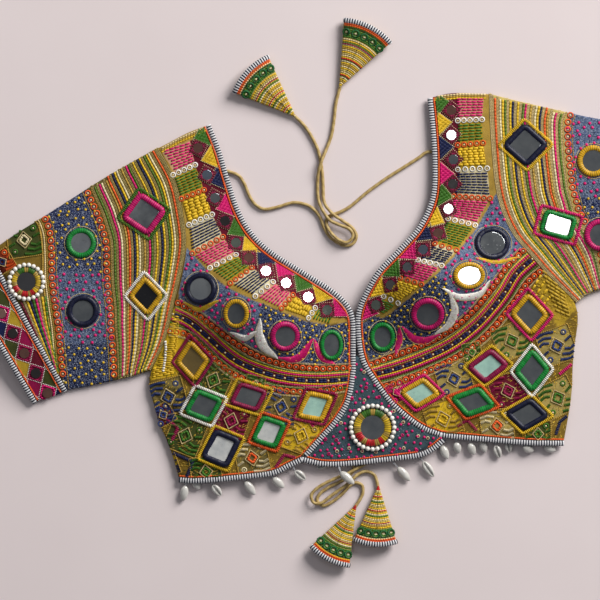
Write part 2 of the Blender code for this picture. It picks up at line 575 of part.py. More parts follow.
def sleeve_sections(upper, lower, seam, end, swells):
    """Plan sections of a flattened tube, from its armhole seam to its straight end."""
    count = len(seam) - 1
    sections = []
    for s in range(SLEEVE_RINGS + 1):
        u = s / SLEEVE_RINGS
        row = []
        for q in range(count + 1):
            w = q / count
            ruled = upper[s].lerp(lower[s], w)
            start = seam[q] - seam[0].lerp(seam[-1], w)
            finish = end[q] - end[0].lerp(end[-1], w)
            point = ruled + start * (1 - u) ** 1.5 + finish * u
            free = ease(w / 0.15) * ease((1 - w) / 0.15) * ease(u / 0.1) * ease((1 - u) / 0.1)
            point.z += free * swelling(point.x, point.y, swells)
            row.append(point)
        sections.append(tube_ring(row))
    return sections


def tube_ring(row):
    """Outer and inner loop of a flattened tube, from the points across its top."""
    across = (row[-1] - row[0]).to_2d().normalized()
    across = Vector((across.x, across.y, 0))
    drop = Vector((0, 0, -FOLD_HEIGHT / 2))
    last = len(row) - 1
    low_keys = range(last, -1, -LOW_STEP)

    def inside(k):
        shift = {0: across * FOLD_WALL, last: -across * FOLD_WALL}.get(k, Vector((0, 0, 0)))
        return row[k] + shift

    outer = list(row)
    outer.append(row[-1] + across * FOLD_ROUND + drop)
    outer += [Vector((row[k].x, row[k].y, 0)) for k in low_keys]
    outer.append(row[0] - across * FOLD_ROUND + drop)
    inner = [inside(k) - Vector((0, 0, CLOTH)) for k in range(last + 1)]
    inner.append(inside(last) + across * 0.6 + drop)
    inner += [Vector((inside(k).x, inside(k).y, BACK_CLOTH)) for k in low_keys]
    inner.append(inside(0) - across * 0.6 + drop)
    return outer, inner


def tube(name, sections, mat):
    """A wall open at both ends, from outer and inner loops."""
    n = len(sections[0][0])
    verts = [v for outer, _ in sections for v in outer] + [v for _, inner in sections for v in inner]
    size = n * len(sections)
    faces = []
    for r in range(len(sections) - 1):
        for i in range(n):
            j = (i + 1) % n
            quad = (r * n + i, r * n + j, (r + 1) * n + j, (r + 1) * n + i)
            faces.append(quad)
            faces.append(tuple(size + k for k in reversed(quad)))
    for start in (0, (len(sections) - 1) * n):
        for i in range(n):
            j = (i + 1) % n
            faces.append((start + i, start + j, size + start + j, size + start + i))
    return place(name, verts, faces, mat)


def crowned(first, last, rows):
    """Points straight across a cuff, highest in the middle."""
    points = []
    for q in range(rows + 1):
        w = q / rows
        point = first.lerp(last, w)
        point.z = FOLD_HEIGHT + CUFF_RISE * sin(pi * w) ** 0.8
        points.append(point)
    return points


def sleeve(side, upper_rows, lower_rows, arm, hem, turn):
    """The sleeve from its armhole seam, then the cuff band between its two pipings."""
    clear = BINDING_HALF + SEAM
    seam = along_curve(arm, ARM_ROWS)
    top_end, low_end = Vector(upper_rows[-1]), Vector(lower_rows[-1])
    across = (low_end - top_end).normalized()
    outward = Vector((across.y, -across.x, 0)) * turn
    upper = along_curve(upper_rows, SLEEVE_RINGS)
    lower = along_curve(lower_rows, SLEEVE_RINGS)
    upper = at_equal_steps(upper[:-1] + [top_end - outward * clear], SLEEVE_RINGS)
    lower = at_equal_steps(lower[:-1] + [low_end - outward * clear], SLEEVE_RINGS)
    end = crowned(upper[-1], lower[-1], ARM_ROWS)
    sections = sleeve_sections(upper, lower, seam, end, SLEEVE_SWELLS[side])
    tube(f"sleeve_{side}", sections, material("embroidery"))
    piping_ring(f"cuff_seam_piping_{side}", top_end, low_end, outward)

    hem_top, hem_low = (Vector((corner.x, corner.y, FOLD_HEIGHT)) for corner in hem)
    cuff = []
    for share in (0, 0.5, 1):
        first = (top_end + outward * clear).lerp(hem_top - outward * clear, share)
        last = (low_end + outward * clear).lerp(hem_low - outward * clear, share)
        cuff.append(tube_ring(crowned(first, last, CUFF_ROWS)))
    tube(f"cuff_{side}", cuff, material("embroidery"))
    piping_ring(f"cuff_hem_piping_{side}", hem_top, hem_low, outward)


def piping_ring(name, first, last, outward):
    """A striped piping round the flattened tube, with a low crest on its upper side."""
    sections = []
    for step, crest in ((-BINDING_HALF, 0.0), (0.0, PIPING_CREST), (BINDING_HALF, 0.0)):
        row = crowned(first + outward * step, last + outward * step, CUFF_ROWS)
        outer, inner = tube_ring(row)
        outer = [p + Vector((0, 0, crest if k < len(row) else 0)) for k, p in enumerate(outer)]
        sections.append((outer, inner))
    tube(name, sections, material("binding"))


# ---------------------------------------------------------------- mirrors, ties and cones

def cloth_below(obj):
    """A function that gives the height of a cloth piece's outer face."""
    tree = BVHTree.FromObject(obj, bpy.context.evaluated_depsgraph_get())

    def height(x, y):
        hit = tree.ray_cast(Vector((x * MM, y * MM, 0.2)), Vector((0, 0, -1)))[0]
        return hit.z / MM if hit else None

    return height


def on_cloth(height, points, rise):
    """Lift plan points onto the cloth; a point past its edge takes the mean height."""
    found = [height(p.x, p.y) for p in points]
    known = [h for h in found if h is not None]
    mean = sum(known) / len(known)
    return [Vector((p.x, p.y, (mean if h is None else h) + rise)) for p, h in zip(points, found)]


def bulge_under(height, middle, outline):
    """How far the cloth rises above flat triangles between a middle and an outline."""
    known = [(p, height(p.x, p.y)) for p in outline]
    known = [(p, h) for p, h in known if h is not None]
    heart = height(middle.x, middle.y)
    worst = 0.0
    for (a, a_height), (b, b_height) in zip(known, known[1:] + known[:1]):
        for share in (0.25, 0.5, 0.75, 1.0):
            for turn in (0.0, 0.5):
                spot = middle.lerp(a.lerp(b, turn), share)
                flat = heart + (a_height + (b_height - a_height) * turn - heart) * share
                cloth = height(spot.x, spot.y)
                if cloth is not None:
                    worst = max(worst, cloth - flat)
    return worst


def framed_mirror(name, centre, outline, glass_share, frame_height, mat, height):
    """A sewn-down mirror: a raised padded frame round a flat glass."""
    middle = Vector((centre.x, centre.y, 0))
    seat = TRIM_GAP + bulge_under(height, middle, outline)

    def ring(share, rise):
        return on_cloth(height, [middle + (p - middle) * share for p in outline], rise)

    rings = [ring(0.98, seat), ring(0.94, frame_height), ring(glass_share + 0.06, frame_height),
             ring(glass_share, frame_height * 0.55)]
    base = on_cloth(height, [middle], seat)[0]
    glass = on_cloth(height, [middle], frame_height * 0.55)[0]
    n = len(outline)
    verts, faces = loft(rings, closed=False)
    verts += [base, glass]
    for i in range(n):
        j = (i + 1) % n
        faces.append((i, j, 4 * n))
        faces.append((3 * n + i, 3 * n + j, 4 * n + 1))
    return place(name, verts, faces, mat)


def ellipse(centre, across, up, sides=12):
    return [Vector((centre.x + across * cos(2 * pi * k / sides),
                    centre.y + up * sin(2 * pi * k / sides), 0)) for k in range(sides)]


def lozenge(centre, a, b):
    """Four corners, slightly rounded, and the middles of the four sides."""
    corners = [centre + a, centre + b, centre - a, centre - b]
    outline = []
    for first, second in zip(corners, corners[1:] + corners[:1]):
        outline.append(centre.lerp(first, 0.95))
        outline.append(first.lerp(second, 0.5))
    return outline


def tie(name, rows):
    """A cord on its route, as a poly curve with a round section."""
    length = curve_length(along_curve(rows, 200))
    points = along_curve(rows, round(length / CORD_STEP))
    curve = bpy.data.curves.new(name, "CURVE")
    curve.dimensions = "3D"
    curve.bevel_depth = CORD / 2 * MM
    curve.bevel_resolution = 2
    curve.use_fill_caps = True
    spline = curve.splines.new("POLY")
    spline.points.add(len(points) - 1)
    for spot, p in zip(spline.points, points):
        spot.co = (*(p * MM), 1)
    obj = bpy.data.objects.new(name, curve)
    curve.materials.append(material("cord"))
    parts.objects.link(obj)


def cone(row):
    """A flattened cloth cone, open at its mouth."""
    sides = 12
    apex = Vector((row.x, row.y, 0))

    def ring(share, inset):
        reach = row.length * share
        half = CONE_APEX + (CONE_MOUTH - CONE_APEX) * share
        points = []
        for k in range(sides):
            turn = 2 * pi * k / sides
            swing = radians(row.heading) + radians(row.half_angle) * sin(turn) * (1 - inset / 18)
            spot = apex + Vector((cos(swing), sin(swing), 0)) * reach
            spot.z = half + 0.2 + (half - inset) * cos(turn)
            points.append(spot)
        return points

    rings = [ring(0.06, 0), ring(0.35, 0), ring(0.7, 0), ring(1.0, 0), ring(1.0, CONE_WALL),
             ring(1 - CONE_RECESS / row.length, CONE_WALL + 0.8)]
    verts, faces = loft(rings)
    place(row.name, verts, faces, material(row.colour))


# ---------------------------------------------------------------- the blouse

left_seam, left_hem = front_panel("front_left", NECK_LEFT, SEAM_LEFT, ARM_LEFT, SIDE_LEFT,
                                  SHOULDER_LEFT, HEM_LEFT, -1, FRONT_SWELLS["left"])
right_seam, right_hem = front_panel("front_right", NECK_RIGHT, SEAM_RIGHT, ARM_RIGHT, SIDE_RIGHT,
                                    SHOULDER_RIGHT, HEM_RIGHT, 1, FRONT_SWELLS["right"])
back_hem_left = back_panel("back_left", BACK_NECK_LEFT, ARM_LEFT, SIDE_LEFT, BACK_HEM_LEFT, -1)
back_hem_right = back_panel("back_right", BACK_NECK_RIGHT, ARM_RIGHT, SIDE_RIGHT, BACK_HEM_RIGHT, 1)
gusset_hem = gusset_panel(left_seam[NECK_ROWS:], right_seam[NECK_ROWS:])

neck_left = cut_back(left_seam, 4.2)
body = binding(neck_left, end_sides=(None, cap_along(neck_left, -1, (1, 0))))
place("neck_binding_left", *body, material("binding"))
neck_right = cut_back(right_seam, SEAM / 2)
body = binding(neck_right, end_sides=(None, cap_along(neck_right, -1, RIGHT_JOINT)))
place("neck_binding_right", *body, material("binding"))

left_hem = cut_back(left_hem[::-1], SEAM / 2)[::-1]
right_hem = cut_back(right_hem[::-1], SEAM / 2)[::-1]
gusset_hem = cut_back(gusset_hem[::-1], SEAM / 2)[::-1]
bodies = {
    "hem_binding_front_left": binding(left_hem, end_sides=(cap_along(left_hem, 0, LEFT_JOINT), None)),
    "hem_binding_front_right": binding(right_hem, end_sides=(cap_along(right_hem, 0, RIGHT_JOINT), None)),
    "hem_binding_centre": binding(gusset_hem, end_sides=(cap_along(gusset_hem, 0, LEFT_JOINT),
                                                         cap_along(gusset_hem, -1, (1, -0.2)))),
    "hem_binding_back_left": binding(back_hem_left, rise=BACK_RISE, sink=BACK_CLOTH),
    "hem_binding_back_right": binding(back_hem_right, rise=BACK_RISE, sink=BACK_CLOTH),
}
for name, (verts, faces) in bodies.items():
    join_shells(place(name, verts, faces, material("binding")), SHELLS[name])

sleeve("left", SLEEVE_UPPER_LEFT, SLEEVE_LOWER_LEFT, ARM_LEFT, CUFF_HEM_LEFT, 1)
sleeve("right", SLEEVE_UPPER_RIGHT, SLEEVE_LOWER_RIGHT, ARM_RIGHT, CUFF_HEM_RIGHT, -1)

bpy.context.view_layer.update()
heights = {name: cloth_below(bpy.data.objects[name])
           for name in ("front_left", "front_right", "front_gusset", "sleeve_left", "sleeve_right")}
for row in ROUND_MIRRORS:
    pearl = row.kind == "pearl"
    framed_mirror(row.name, Vector((row.x, row.y, 0)), ellipse(row, row.across, row.up),
                  PEARL_GLASS if pearl else ROUND_GLASS, PEARL_HEIGHT if pearl else FRAME_HEIGHT,
                  material(row.colour, 0.4), heights[row.on])
for row in SQUARE_MIRRORS:
    middle = Vector((row.x, row.y, 0))
    outline = lozenge(middle, Vector((row.ax, row.ay, 0)), Vector((row.bx, row.by, 0)))
    framed_mirror(row.name, middle, outline, SQUARE_GLASS, FRAME_HEIGHT,
                  material(row.colour, 0.4), heights[row.on])

for name, route in ROUTES.items():
    tie(name, route)
for row in CONES:
    cone(row)
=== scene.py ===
import math
from collections import namedtuple

import bmesh
import bpy
import numpy as np
from mathutils import Matrix, Vector
from mathutils.bvhtree import BVHTree
from numpy.linalg import norm


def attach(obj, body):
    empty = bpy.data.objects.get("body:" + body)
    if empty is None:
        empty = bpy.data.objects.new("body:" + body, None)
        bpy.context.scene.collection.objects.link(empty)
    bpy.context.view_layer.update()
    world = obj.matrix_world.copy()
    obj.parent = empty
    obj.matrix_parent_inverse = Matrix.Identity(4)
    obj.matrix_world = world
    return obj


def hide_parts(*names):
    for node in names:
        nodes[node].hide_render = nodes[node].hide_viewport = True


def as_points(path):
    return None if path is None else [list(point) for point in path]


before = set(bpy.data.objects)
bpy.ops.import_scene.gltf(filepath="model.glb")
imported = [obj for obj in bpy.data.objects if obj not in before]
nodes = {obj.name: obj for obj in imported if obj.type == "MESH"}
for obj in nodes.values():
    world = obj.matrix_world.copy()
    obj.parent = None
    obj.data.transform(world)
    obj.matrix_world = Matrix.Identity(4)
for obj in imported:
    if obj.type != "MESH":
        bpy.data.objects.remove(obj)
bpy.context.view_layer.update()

# ---------------------------------------------------------------- camera, table and light
# The blouse is looked at from straight above through a long lens, on a plain pale table, under
# one large soft lamp from the upper right, a weaker one opposite, a small high one that only the
# tilted mirrors catch, and a grey room.
VIEW_CENTRE = (-0.035, -0.004)
VIEW_WIDTH = 0.600
VIEW_HEIGHT = 6.0
LENS_OVER_VIEW = 0.01
TABLE_LEVEL = -0.0004   # just under the blouse, so that the two never share a face
SENSOR = 36.0

lens = bpy.data.cameras.new("camera")
lens.sensor_width = SENSOR
lens.lens = SENSOR * VIEW_HEIGHT / VIEW_WIDTH
lens.clip_end = 30


def shown(name, data):
    """A new object of the scene."""
    thing = bpy.data.objects.new(name, data)
    bpy.context.scene.collection.objects.link(thing)
    return thing


camera = shown("camera", lens)
camera.location = (*VIEW_CENTRE, VIEW_HEIGHT + LENS_OVER_VIEW)
bpy.context.scene.camera = camera
bpy.context.scene.view_settings.view_transform = "Standard"


class Dye:
    """A socket of a material; sums and products of dyes add Math nodes."""

    def __init__(self, tree, socket=None):
        self.tree, self.socket = tree, socket

    def node(self, kind, settings, sockets, output=0):
        made = self.tree.nodes.new(kind)
        for key, value in settings.items():
            if key == "stops":
                ramp = made.color_ramp
                while len(ramp.elements) < len(value):
                    ramp.elements.new(0.5)
                for element, (position, colour) in zip(ramp.elements, value):
                    element.position, element.color = position, colour
            else:
                setattr(made, key, value)
        for key, value in sockets.items():
            if isinstance(value, Dye):
                self.tree.links.new(value.socket, made.inputs[key])
            else:
                made.inputs[key].default_value = value
        return Dye(self.tree, made.outputs[output])

    def maths(self, operation, *values):
        return self.node("ShaderNodeMath", {"operation": operation}, dict(enumerate(values)))

    def __add__(self, other):
        return self.maths("ADD", self, other)

    def __sub__(self, other):
        return self.maths("SUBTRACT", self, other)

    def __rsub__(self, other):
        return self.maths("SUBTRACT", other, self)

    def __mul__(self, other):
        return self.maths("MULTIPLY", self, other)

    __radd__ = __add__
    __rmul__ = __mul__

    def sine(self):
        return self.maths("SINE", self)

    def kept(self, low, high, new_low=0.0, new_high=1.0):
        """The value stretched from one range to another, and held inside it."""
        return self.node("ShaderNodeMapRange", {"clamp": True},
                         {0: self, 1: low, 2: high, 3: new_low, 4: new_high})

    def tint(self, first, second):
        """First colour where this is 0, second where it is 1."""
        return self.node("ShaderNodeMix", {"data_type": "RGBA"}, {0: self, 6: first, 7: second}, 2)

    def shaded(self, light):
        """This colour multiplied by another."""
        return self.node("ShaderNodeMix", {"data_type": "RGBA", "blend_type": "MULTIPLY"},
                         {0: 1.0, 6: self, 7: light}, 2)

    def part(self, axis):
        return self.node("ShaderNodeSeparateXYZ", {}, {0: self}, axis)

    def noise(self, place, scale, detail=2.0, rough=0.5):
        return self.node("ShaderNodeTexNoise", {}, {"Vector": place, "Scale": scale,
                                                    "Detail": detail, "Roughness": rough})

    def attribute(self, name, output="Color"):
        return self.node("ShaderNodeAttribute", {"attribute_name": name}, {}, output)

    def place(self):
        return self.node("ShaderNodeTexCoord", {}, {}, "Object")

    def bump(self, height, strength, distance):
        return self.node("ShaderNodeBump", {}, {"Height": height, "Strength": strength,
                                                "Distance": distance})


def finish_with(name, **sockets):
    """A material and its dye; plain numbers go straight on the shader's own sockets."""
    made = bpy.data.materials.new(name)
    made.use_nodes = True
    shader = made.node_tree.nodes["Principled BSDF"]
    for key, value in sockets.items():
        shader.inputs[key.replace("_", " ")].default_value = value
    return made, Dye(made.node_tree), shader


def feed(shader, **dyes):
    for key, dye in dyes.items():
        dye.tree.links.new(dye.socket, shader.inputs[key.replace("_", " ")])


table_finish, dye, shader = finish_with("pale_table", Roughness=0.9)
grain = dye.noise(dye.place(), 6.0, 3.0)
feed(shader, Base_Color=grain.kept(0.3, 0.7).tint((0.655, 0.575, 0.585, 1), (0.68, 0.60, 0.61, 1)))
table_mesh = bpy.data.meshes.new("table")
table_mesh.from_pydata([(-4, -4, 0), (4, -4, 0), (4, 4, 0), (-4, 4, 0)], [], [(0, 1, 2, 3)])
table_mesh.materials.append(table_finish)
table = shown("table", table_mesh)
table.location.z = TABLE_LEVEL

room = bpy.data.worlds.new("room")
room.use_nodes = True
room.node_tree.nodes["Background"].inputs["Color"].default_value = (0.92, 0.95, 1.0, 1)
room.node_tree.nodes["Background"].inputs["Strength"].default_value = 0.165
bpy.context.scene.world = room


def lamp(name, place, size, watts, colour=(1, 1, 1)):
    light = bpy.data.lights.new(name, "AREA")
    light.size = size
    light.energy = watts
    light.color = colour
    hung = shown(name, light)
    hung.location = place
    hung.rotation_euler = (-Vector(place)).to_track_quat("-Z", "Y").to_euler()


lamp("key_lamp", (2.8, 3.1, 2.6), 2.6, 400, (1.0, 0.98, 0.94))
lamp("fill_lamp", (-1.2, 0.8, 2.6), 2.0, 6)
lamp("high_lamp", (2.1, 0.46, 5.0), 0.75, 7)

# ---------------------------------------------------------------- ties
# Four rolled cloth cords with a soft gold-beige satin face. Two leave the neck's back edge and
# cross in a bow, two tie the back's waist; each one's far end runs 8 mm into a cloth cone.
MM = 0.001
CORD = 3.2
CORD_SIDES = 10
CORD_STEP = 1.2
STEPS_IN_CONE = 7
FOLD_TWIST = 0.9        # turn of the cord's fold, in radians a millimetre
LYING = 1.8             # height of a cord's middle where it lies on the table
# Each tie's route: x, y and, where it rises over another cord, the height of its middle
ROUTES = {
    "neck_tie_left": [
        (-114.2, 127), (-98, 121.5), (-91, 113), (-86, 101), (-80, 92), (-71, 87), (-58, 89),
        (-42, 93.5), (-29, 91.5), (-21, 86.5), (-15, 79), (-11.5, 70), (-6.5, 61), (1, 54.5),
        (10, 50.5), (18, 52.5), (21.5, 60), (17.5, 68), (9, 74.5, 2.8), (0.5, 80, 5.3),
        (-5, 85, 5.5), (-9.5, 91, 4.4), (-11.5, 98, 2.6), (-11.8, 108), (-12.5, 121), (-14, 133),
        (-17, 146), (-23, 159), (-31, 171), (-41.7, 181.5, 2.4)],
    "neck_tie_right": [
        (102.6, 144), (92, 144), (84, 138.5), (69, 129), (51, 117.5), (33, 104.5), (17, 91),
        (8, 85.5), (0, 82.2), (-6.5, 79.5), (-8.5, 74, 2.6), (-7, 68, 4.0), (-2, 61, 5.3),
        (5, 55.5, 5.4), (12.5, 53.8, 5.4), (18, 60, 5.4), (14.5, 67, 5.4), (5, 71, 5.5),
        (-4.5, 75.5, 5.7), (-10, 82, 5.4), (-14.2, 89.5, 4.4), (-16.6, 97, 2.6), (-17.4, 106),
        (-17.3, 114), (-16.8, 122, 3.4), (-15, 130, 5.5), (-12.6, 137, 5.5), (-9.4, 145, 3.4),
        (-5.8, 154), (-3, 163), (-0.7, 178), (1, 193), (5.6, 211.1, 2.4)],
    "waist_tie_left": [
        (9.5, -157), (14, -160.5), (18.5, -167), (18.5, -174), (13, -181), (4, -186.5), (-7, -192),
        (-15.5, -198.5), (-17.5, -205.5), (-11.5, -210), (-2, -205.5), (8, -197.5), (14, -190.8),
        (20.5, -187), (27, -189.5), (28, -196.5), (25.5, -203), (20.05, -211.35, 2.4)],
    "waist_tie_right": [
        (41.2, -157), (35, -164, 2.2), (28, -169.5, 3.8), (21, -173, 5.3), (13, -177.5, 5.3),
        (3, -181.5, 5.3), (-9, -187, 5.3), (-18, -192.5, 5.3), (-23.8, -199.5, 5.3),
        (-21, -207, 5.3), (-13, -206.8, 5.3), (-4, -200, 5.3), (6, -193, 5.3), (15, -186, 5.3),
        (21, -180, 5.0), (28, -176, 3.2), (35, -176.5), (40.5, -181), (43.3, -191.9, 2.4)]}


def along_curve(rows, step):
    """Equal steps along a smooth curve through the rows (a Catmull-Rom curve)."""
    rows = np.array(rows, float)
    padded = np.vstack([2 * rows[0] - rows[1], rows, 2 * rows[-1] - rows[-2]])
    dense = []
    for before, start, end, after in zip(padded, padded[1:], padded[2:], padded[3:]):
        u = np.linspace(0, 1, 12, endpoint=False)[:, None]
        dense.append(0.5 * (2 * start + (end - before) * u
                            + (2 * before - 5 * start + 4 * end - after) * u ** 2
                            + (3 * start - before - 3 * end + after) * u ** 3))
    dense = np.vstack(dense + [rows[-1:]])
    return at_steps(dense, step)


def steps_of(path):
    """The length of each step of a path."""
    return norm(np.diff(path, axis=0), axis=1)


def at_steps(dense, step=None, count=None):
    """A polyline resampled at equal distances."""
    dense = np.array(dense, float)
    gone = np.append(0, np.cumsum(steps_of(dense)))
    count = count or max(1, round(gone[-1] / step))
    marks = np.linspace(0, gone[-1], count + 1)
    return np.column_stack([np.interp(marks, gone, dense[:, k]) for k in range(dense.shape[1])])


def run_of(path):
    """Unit direction of travel at each point of a path."""
    turn = np.gradient(np.array(path, float), axis=0)
    return turn / norm(turn, axis=1)[:, None]


def headed(run):
    """The same direction with a length of one."""
    return run / norm(run)


def left_of(run):
    """A direction of the plan turned a quarter turn to the left."""
    return np.array([-run[1], run[0]])


def round_steps(count):
    """Angles at equal steps round a full turn."""
    return np.arange(count) * 2 * math.pi / count


def mark(mesh, name, kind, values):
    """A number, vector or colour kept on every point of a mesh."""
    field = {"FLOAT_COLOR": "color", "FLOAT_VECTOR": "vector"}.get(kind, "value")
    values = np.array(values, np.int32 if kind == "INT" else np.float32).ravel()
    mesh.attributes.new(name, kind, "POINT").data.foreach_set(field, values)


def closed_mesh(name, verts, faces):
    """A mesh with its faces turned outwards."""
    mesh = bpy.data.meshes.new(name)
    mesh.from_pydata(verts, [], faces)
    work = bmesh.new()
    work.from_mesh(mesh)
    bmesh.ops.recalc_face_normals(work, faces=work.faces)
    work.to_mesh(mesh)
    work.free()
    return mesh


def made(name, verts, faces, finish, colours=None, smooth=True):
    """A mesh object in metres from points in millimetres, with a thread colour for each point."""
    mesh = closed_mesh(name, [tuple(v) for v in np.array(verts, float) * MM], faces)
    if colours is not None:
        mark(mesh, "thread", "FLOAT_COLOR", colours)
    if smooth:
        mesh.shade_smooth()
    mesh.materials.append(finish)
    return shown(name, mesh)


def placed(piece, slot, node=None):
    """A finished piece: the node it stands for and its body; the slot of its finish is not used."""
    if node:
        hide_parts(node)
    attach(piece, "root")


def walls(sides, rings, joined=False):
    """Faces from ring to ring of points; the last ring joined to the first to close a hoop."""
    faces = []
    for r in range(rings if joined else rings - 1):
        low, high = r * sides, (r + 1) % rings * sides
        for i in range(sides):
            j = (i + 1) % sides
            faces.append((low + i, low + j, high + j, high + i))
    return faces


def tube(sides, rings):
    """Faces of a tube of rings of points, with its two ends closed."""
    return walls(sides, rings) + [tuple(range(sides)),
                                  tuple(range((rings - 1) * sides, rings * sides))]


def swept(path, ring):
    """Points and faces of a closed tube: ring(k) gives (side, up) pairs round each point."""
    path = np.array(path, float)
    verts = []
    for k, (spot, run) in enumerate(zip(path, run_of(path))):
        side = headed(np.array([*left_of(run), 0.0]))
        up = np.cross(run, side)
        verts += [spot + side * a + up * b for a, b in ring(k)]
    return verts, tube(len(ring(0)), len(path))


cord_finish, dye, shader = finish_with("rolled_cord", Roughness=0.5, Specular_IOR_Level=0.35)
along = dye.attribute("lay", "Fac")
fibre = dye.noise(dye.place(), 900.0, 3.0)
twist = (along * 0.4).sine().kept(-1, 1)
shade = fibre.kept(0.3, 0.7) * 0.55 + twist * 0.45
feed(shader, Base_Color=shade.tint((0.28, 0.18, 0.055, 1), (0.50, 0.37, 0.15, 1)),
     Normal=dye.bump(shade, 0.35, 0.0003))

ties = {}
turn = round_steps(CORD_SIDES)
for name, route in ROUTES.items():
    path = along_curve([(*row, LYING)[:3] for row in route], CORD_STEP)
    last = (path[-1] - path[-2]) * (1, 1, 0)
    path = np.vstack([path, path[-1] + last * np.arange(1, STEPS_IN_CONE + 1)[:, None]])

    def round_section(k):
        swell = CORD / 2 * (1 + 0.05 * np.sin(2 * turn + k * CORD_STEP * FOLD_TWIST))
        return np.column_stack([np.cos(turn) * swell, np.sin(turn) * swell])

    piece = made(name + "_cord", *swept(path, round_section), cord_finish)
    lay = (np.repeat(np.arange(len(path)) * CORD_STEP * 2 * FOLD_TWIST, CORD_SIDES)
           + np.tile(turn * 2, len(path)))
    mark(piece.data, "lay", "FLOAT", lay)
    ties[name] = (piece, path)

# ---------------------------------------------------------------- cloth of the fronts and gusset
# Heavy cotton, patched together from strips and squares and stitched all over. The two fronts are
# gathered into cups, so they stand up from the table; a small pointed piece joins them.
SUBDIVISIONS = 2
RIM_ANGLE = 50          # degrees between faces where a rim is kept sharp
CORNER_ANGLE = 38       # turn of the rim, in degrees, that stays a corner
CREASED_ABOVE = 0.0035  # only the upper side of the cloth is creased, from this height in metres
PATTERN_MIDDLE = (335.0, 296.0)     # the place on the paper pattern where x and y are zero

# Colours of thread and of plain cloth
# The grounds ochre, moss and khaki are darkened past the cloth's own colour, as painted shade in
# the hollows between raised stitches.
THREAD = {
    "orange": (0.70, 0.10, 0.016), "rust": (0.17, 0.022, 0.008), "yellow": (0.66, 0.43, 0.018),
    "gold": (0.42, 0.27, 0.05), "zari": (0.66, 0.53, 0.28), "cream": (0.66, 0.58, 0.36),
    "white": (0.80, 0.79, 0.75), "pink": (0.60, 0.008, 0.15), "green": (0.045, 0.15, 0.014),
    "leaf": (0.008, 0.26, 0.04), "navy": (0.009, 0.014, 0.065), "blue": (0.022, 0.045, 0.17),
    "maroon": (0.12, 0.006, 0.02), "wine": (0.27, 0.005, 0.06), "slate": (0.085, 0.12, 0.22),
    "teal": (0.05, 0.085, 0.105), "red": (0.50, 0.01, 0.015), "ochre": (0.20, 0.125, 0.018),
    "mustard": (0.44, 0.29, 0.025), "peach": (0.60, 0.34, 0.20), "moss": (0.05, 0.062, 0.014),
    # khaki and the lighter entry after it are one cloth, painted darker on the left front and
    # sleeve and lighter on the right front: painted shade and painted light.
    "khaki": (0.16, 0.122, 0.038), "straw": (0.34, 0.26, 0.078), "flax": (0.48, 0.38, 0.12),
    "mist": (0.30, 0.34, 0.45), "amber": (0.70, 0.39, 0.012), "ink": (0.006, 0.008, 0.035),
    "grass": (0.09, 0.17, 0.02), "bottle": (0.012, 0.10, 0.028), "antique": (0.47, 0.37, 0.14)}
METAL = {"zari"}        # threads with metal in them


def at(u, v):
    """A place on the paper pattern as the model's x and y, in millimetres."""
    return np.array([u - PATTERN_MIDDLE[0], PATTERN_MIDDLE[1] - v])


def places(*spots):
    return np.array([at(u, v) for u, v in spots])


def settle(piece):
    """The piece's modifiers worked out into a plain mesh and removed."""
    bpy.context.view_layer.update()
    evaluated = piece.evaluated_get(bpy.context.evaluated_depsgraph_get())
    piece.data = bpy.data.meshes.new_from_object(evaluated)
    piece.modifiers.clear()


def smooth_copy(name, node, finish, finer=0):
    """A cloth node's form, its doubles merged and its facets smoothed, rims and corners kept.

    The upper side is cut finer where it carries patches of colour, to keep their edges sharp.
    """
    mesh = nodes[node].data.copy()
    mesh.materials.clear()
    mesh.materials.append(finish)
    work = bmesh.new()
    work.from_mesh(mesh)
    bmesh.ops.remove_doubles(work, verts=work.verts, dist=0.00002)
    bmesh.ops.join_triangles(work, faces=work.faces, angle_face_threshold=math.radians(40),
                             angle_shape_threshold=math.radians(60))
    sharp = work.edges.layers.float.new("crease_edge")
    corner = work.verts.layers.float.new("crease_vert")
    for edge in work.edges:
        if len(edge.link_faces) == 2 and edge.calc_face_angle() > math.radians(RIM_ANGLE):
            edge[sharp] = 1.0
    for vert in work.verts:
        rim = [e.other_vert(vert).co - vert.co for e in vert.link_edges
               if e[sharp] and abs((e.other_vert(vert).co - vert.co).normalized().z) < 0.8]
        if len(rim) == 2 and rim[0].angle(-rim[1]) > math.radians(CORNER_ANGLE):
            vert[corner] = 1.0
    work.to_mesh(mesh)
    work.free()
    mesh.shade_smooth()
    piece = shown(name, mesh)
    rounder = piece.modifiers.new("rounder", "SUBSURF")
    rounder.levels = rounder.render_levels = SUBDIVISIONS
    settle(piece)
    work = bmesh.new()
    work.from_mesh(piece.data)
    for _ in range(finer):
        work.normal_update()
        upper = [e for e in work.edges if all(face.normal.z > 0.25 for face in e.link_faces)]
        bmesh.ops.subdivide_edges(work, edges=upper, cuts=1, use_grid_fill=True)
    work.to_mesh(piece.data)
    work.free()
    return piece


def inside(spots, corners):
    """Which of the spots lie inside a polygon."""
    spots, corners = np.array(spots, float), np.array(corners, float)
    hit = np.zeros(len(spots), bool)
    for (ax, ay), (bx, by) in zip(corners, np.roll(corners, -1, axis=0)):
        crosses = (ay > spots[:, 1]) != (by > spots[:, 1])
        reach = (bx - ax) * (spots[:, 1] - ay) / (by - ay + 1e-12) + ax
        hit ^= crosses & (spots[:, 0] < reach)
    return hit


def points_of(mesh):
    """The mesh's points in metres, one to a row."""
    spots = np.empty(len(mesh.vertices) * 3, np.float32)
    mesh.vertices.foreach_get("co", spots)
    return spots.reshape(-1, 3)


def dyed(piece, patches, ground):
    """The cloth's own colours, patch over patch, and how much each is flecked with stitches."""
    spots = points_of(piece.data)[:, :2] / MM
    colours = np.tile(np.array([*THREAD[ground], 1], np.float32), (len(spots), 1))
    flecks = np.zeros(len(spots), np.float32)
    for colour, fleck, corners in patches:
        there = inside(spots, corners)
        colours[there, :3] = THREAD[colour]
        flecks[there] = fleck
    mark(piece.data, "ground", "FLOAT_COLOR", colours)
    mark(piece.data, "fleck", "FLOAT", flecks)


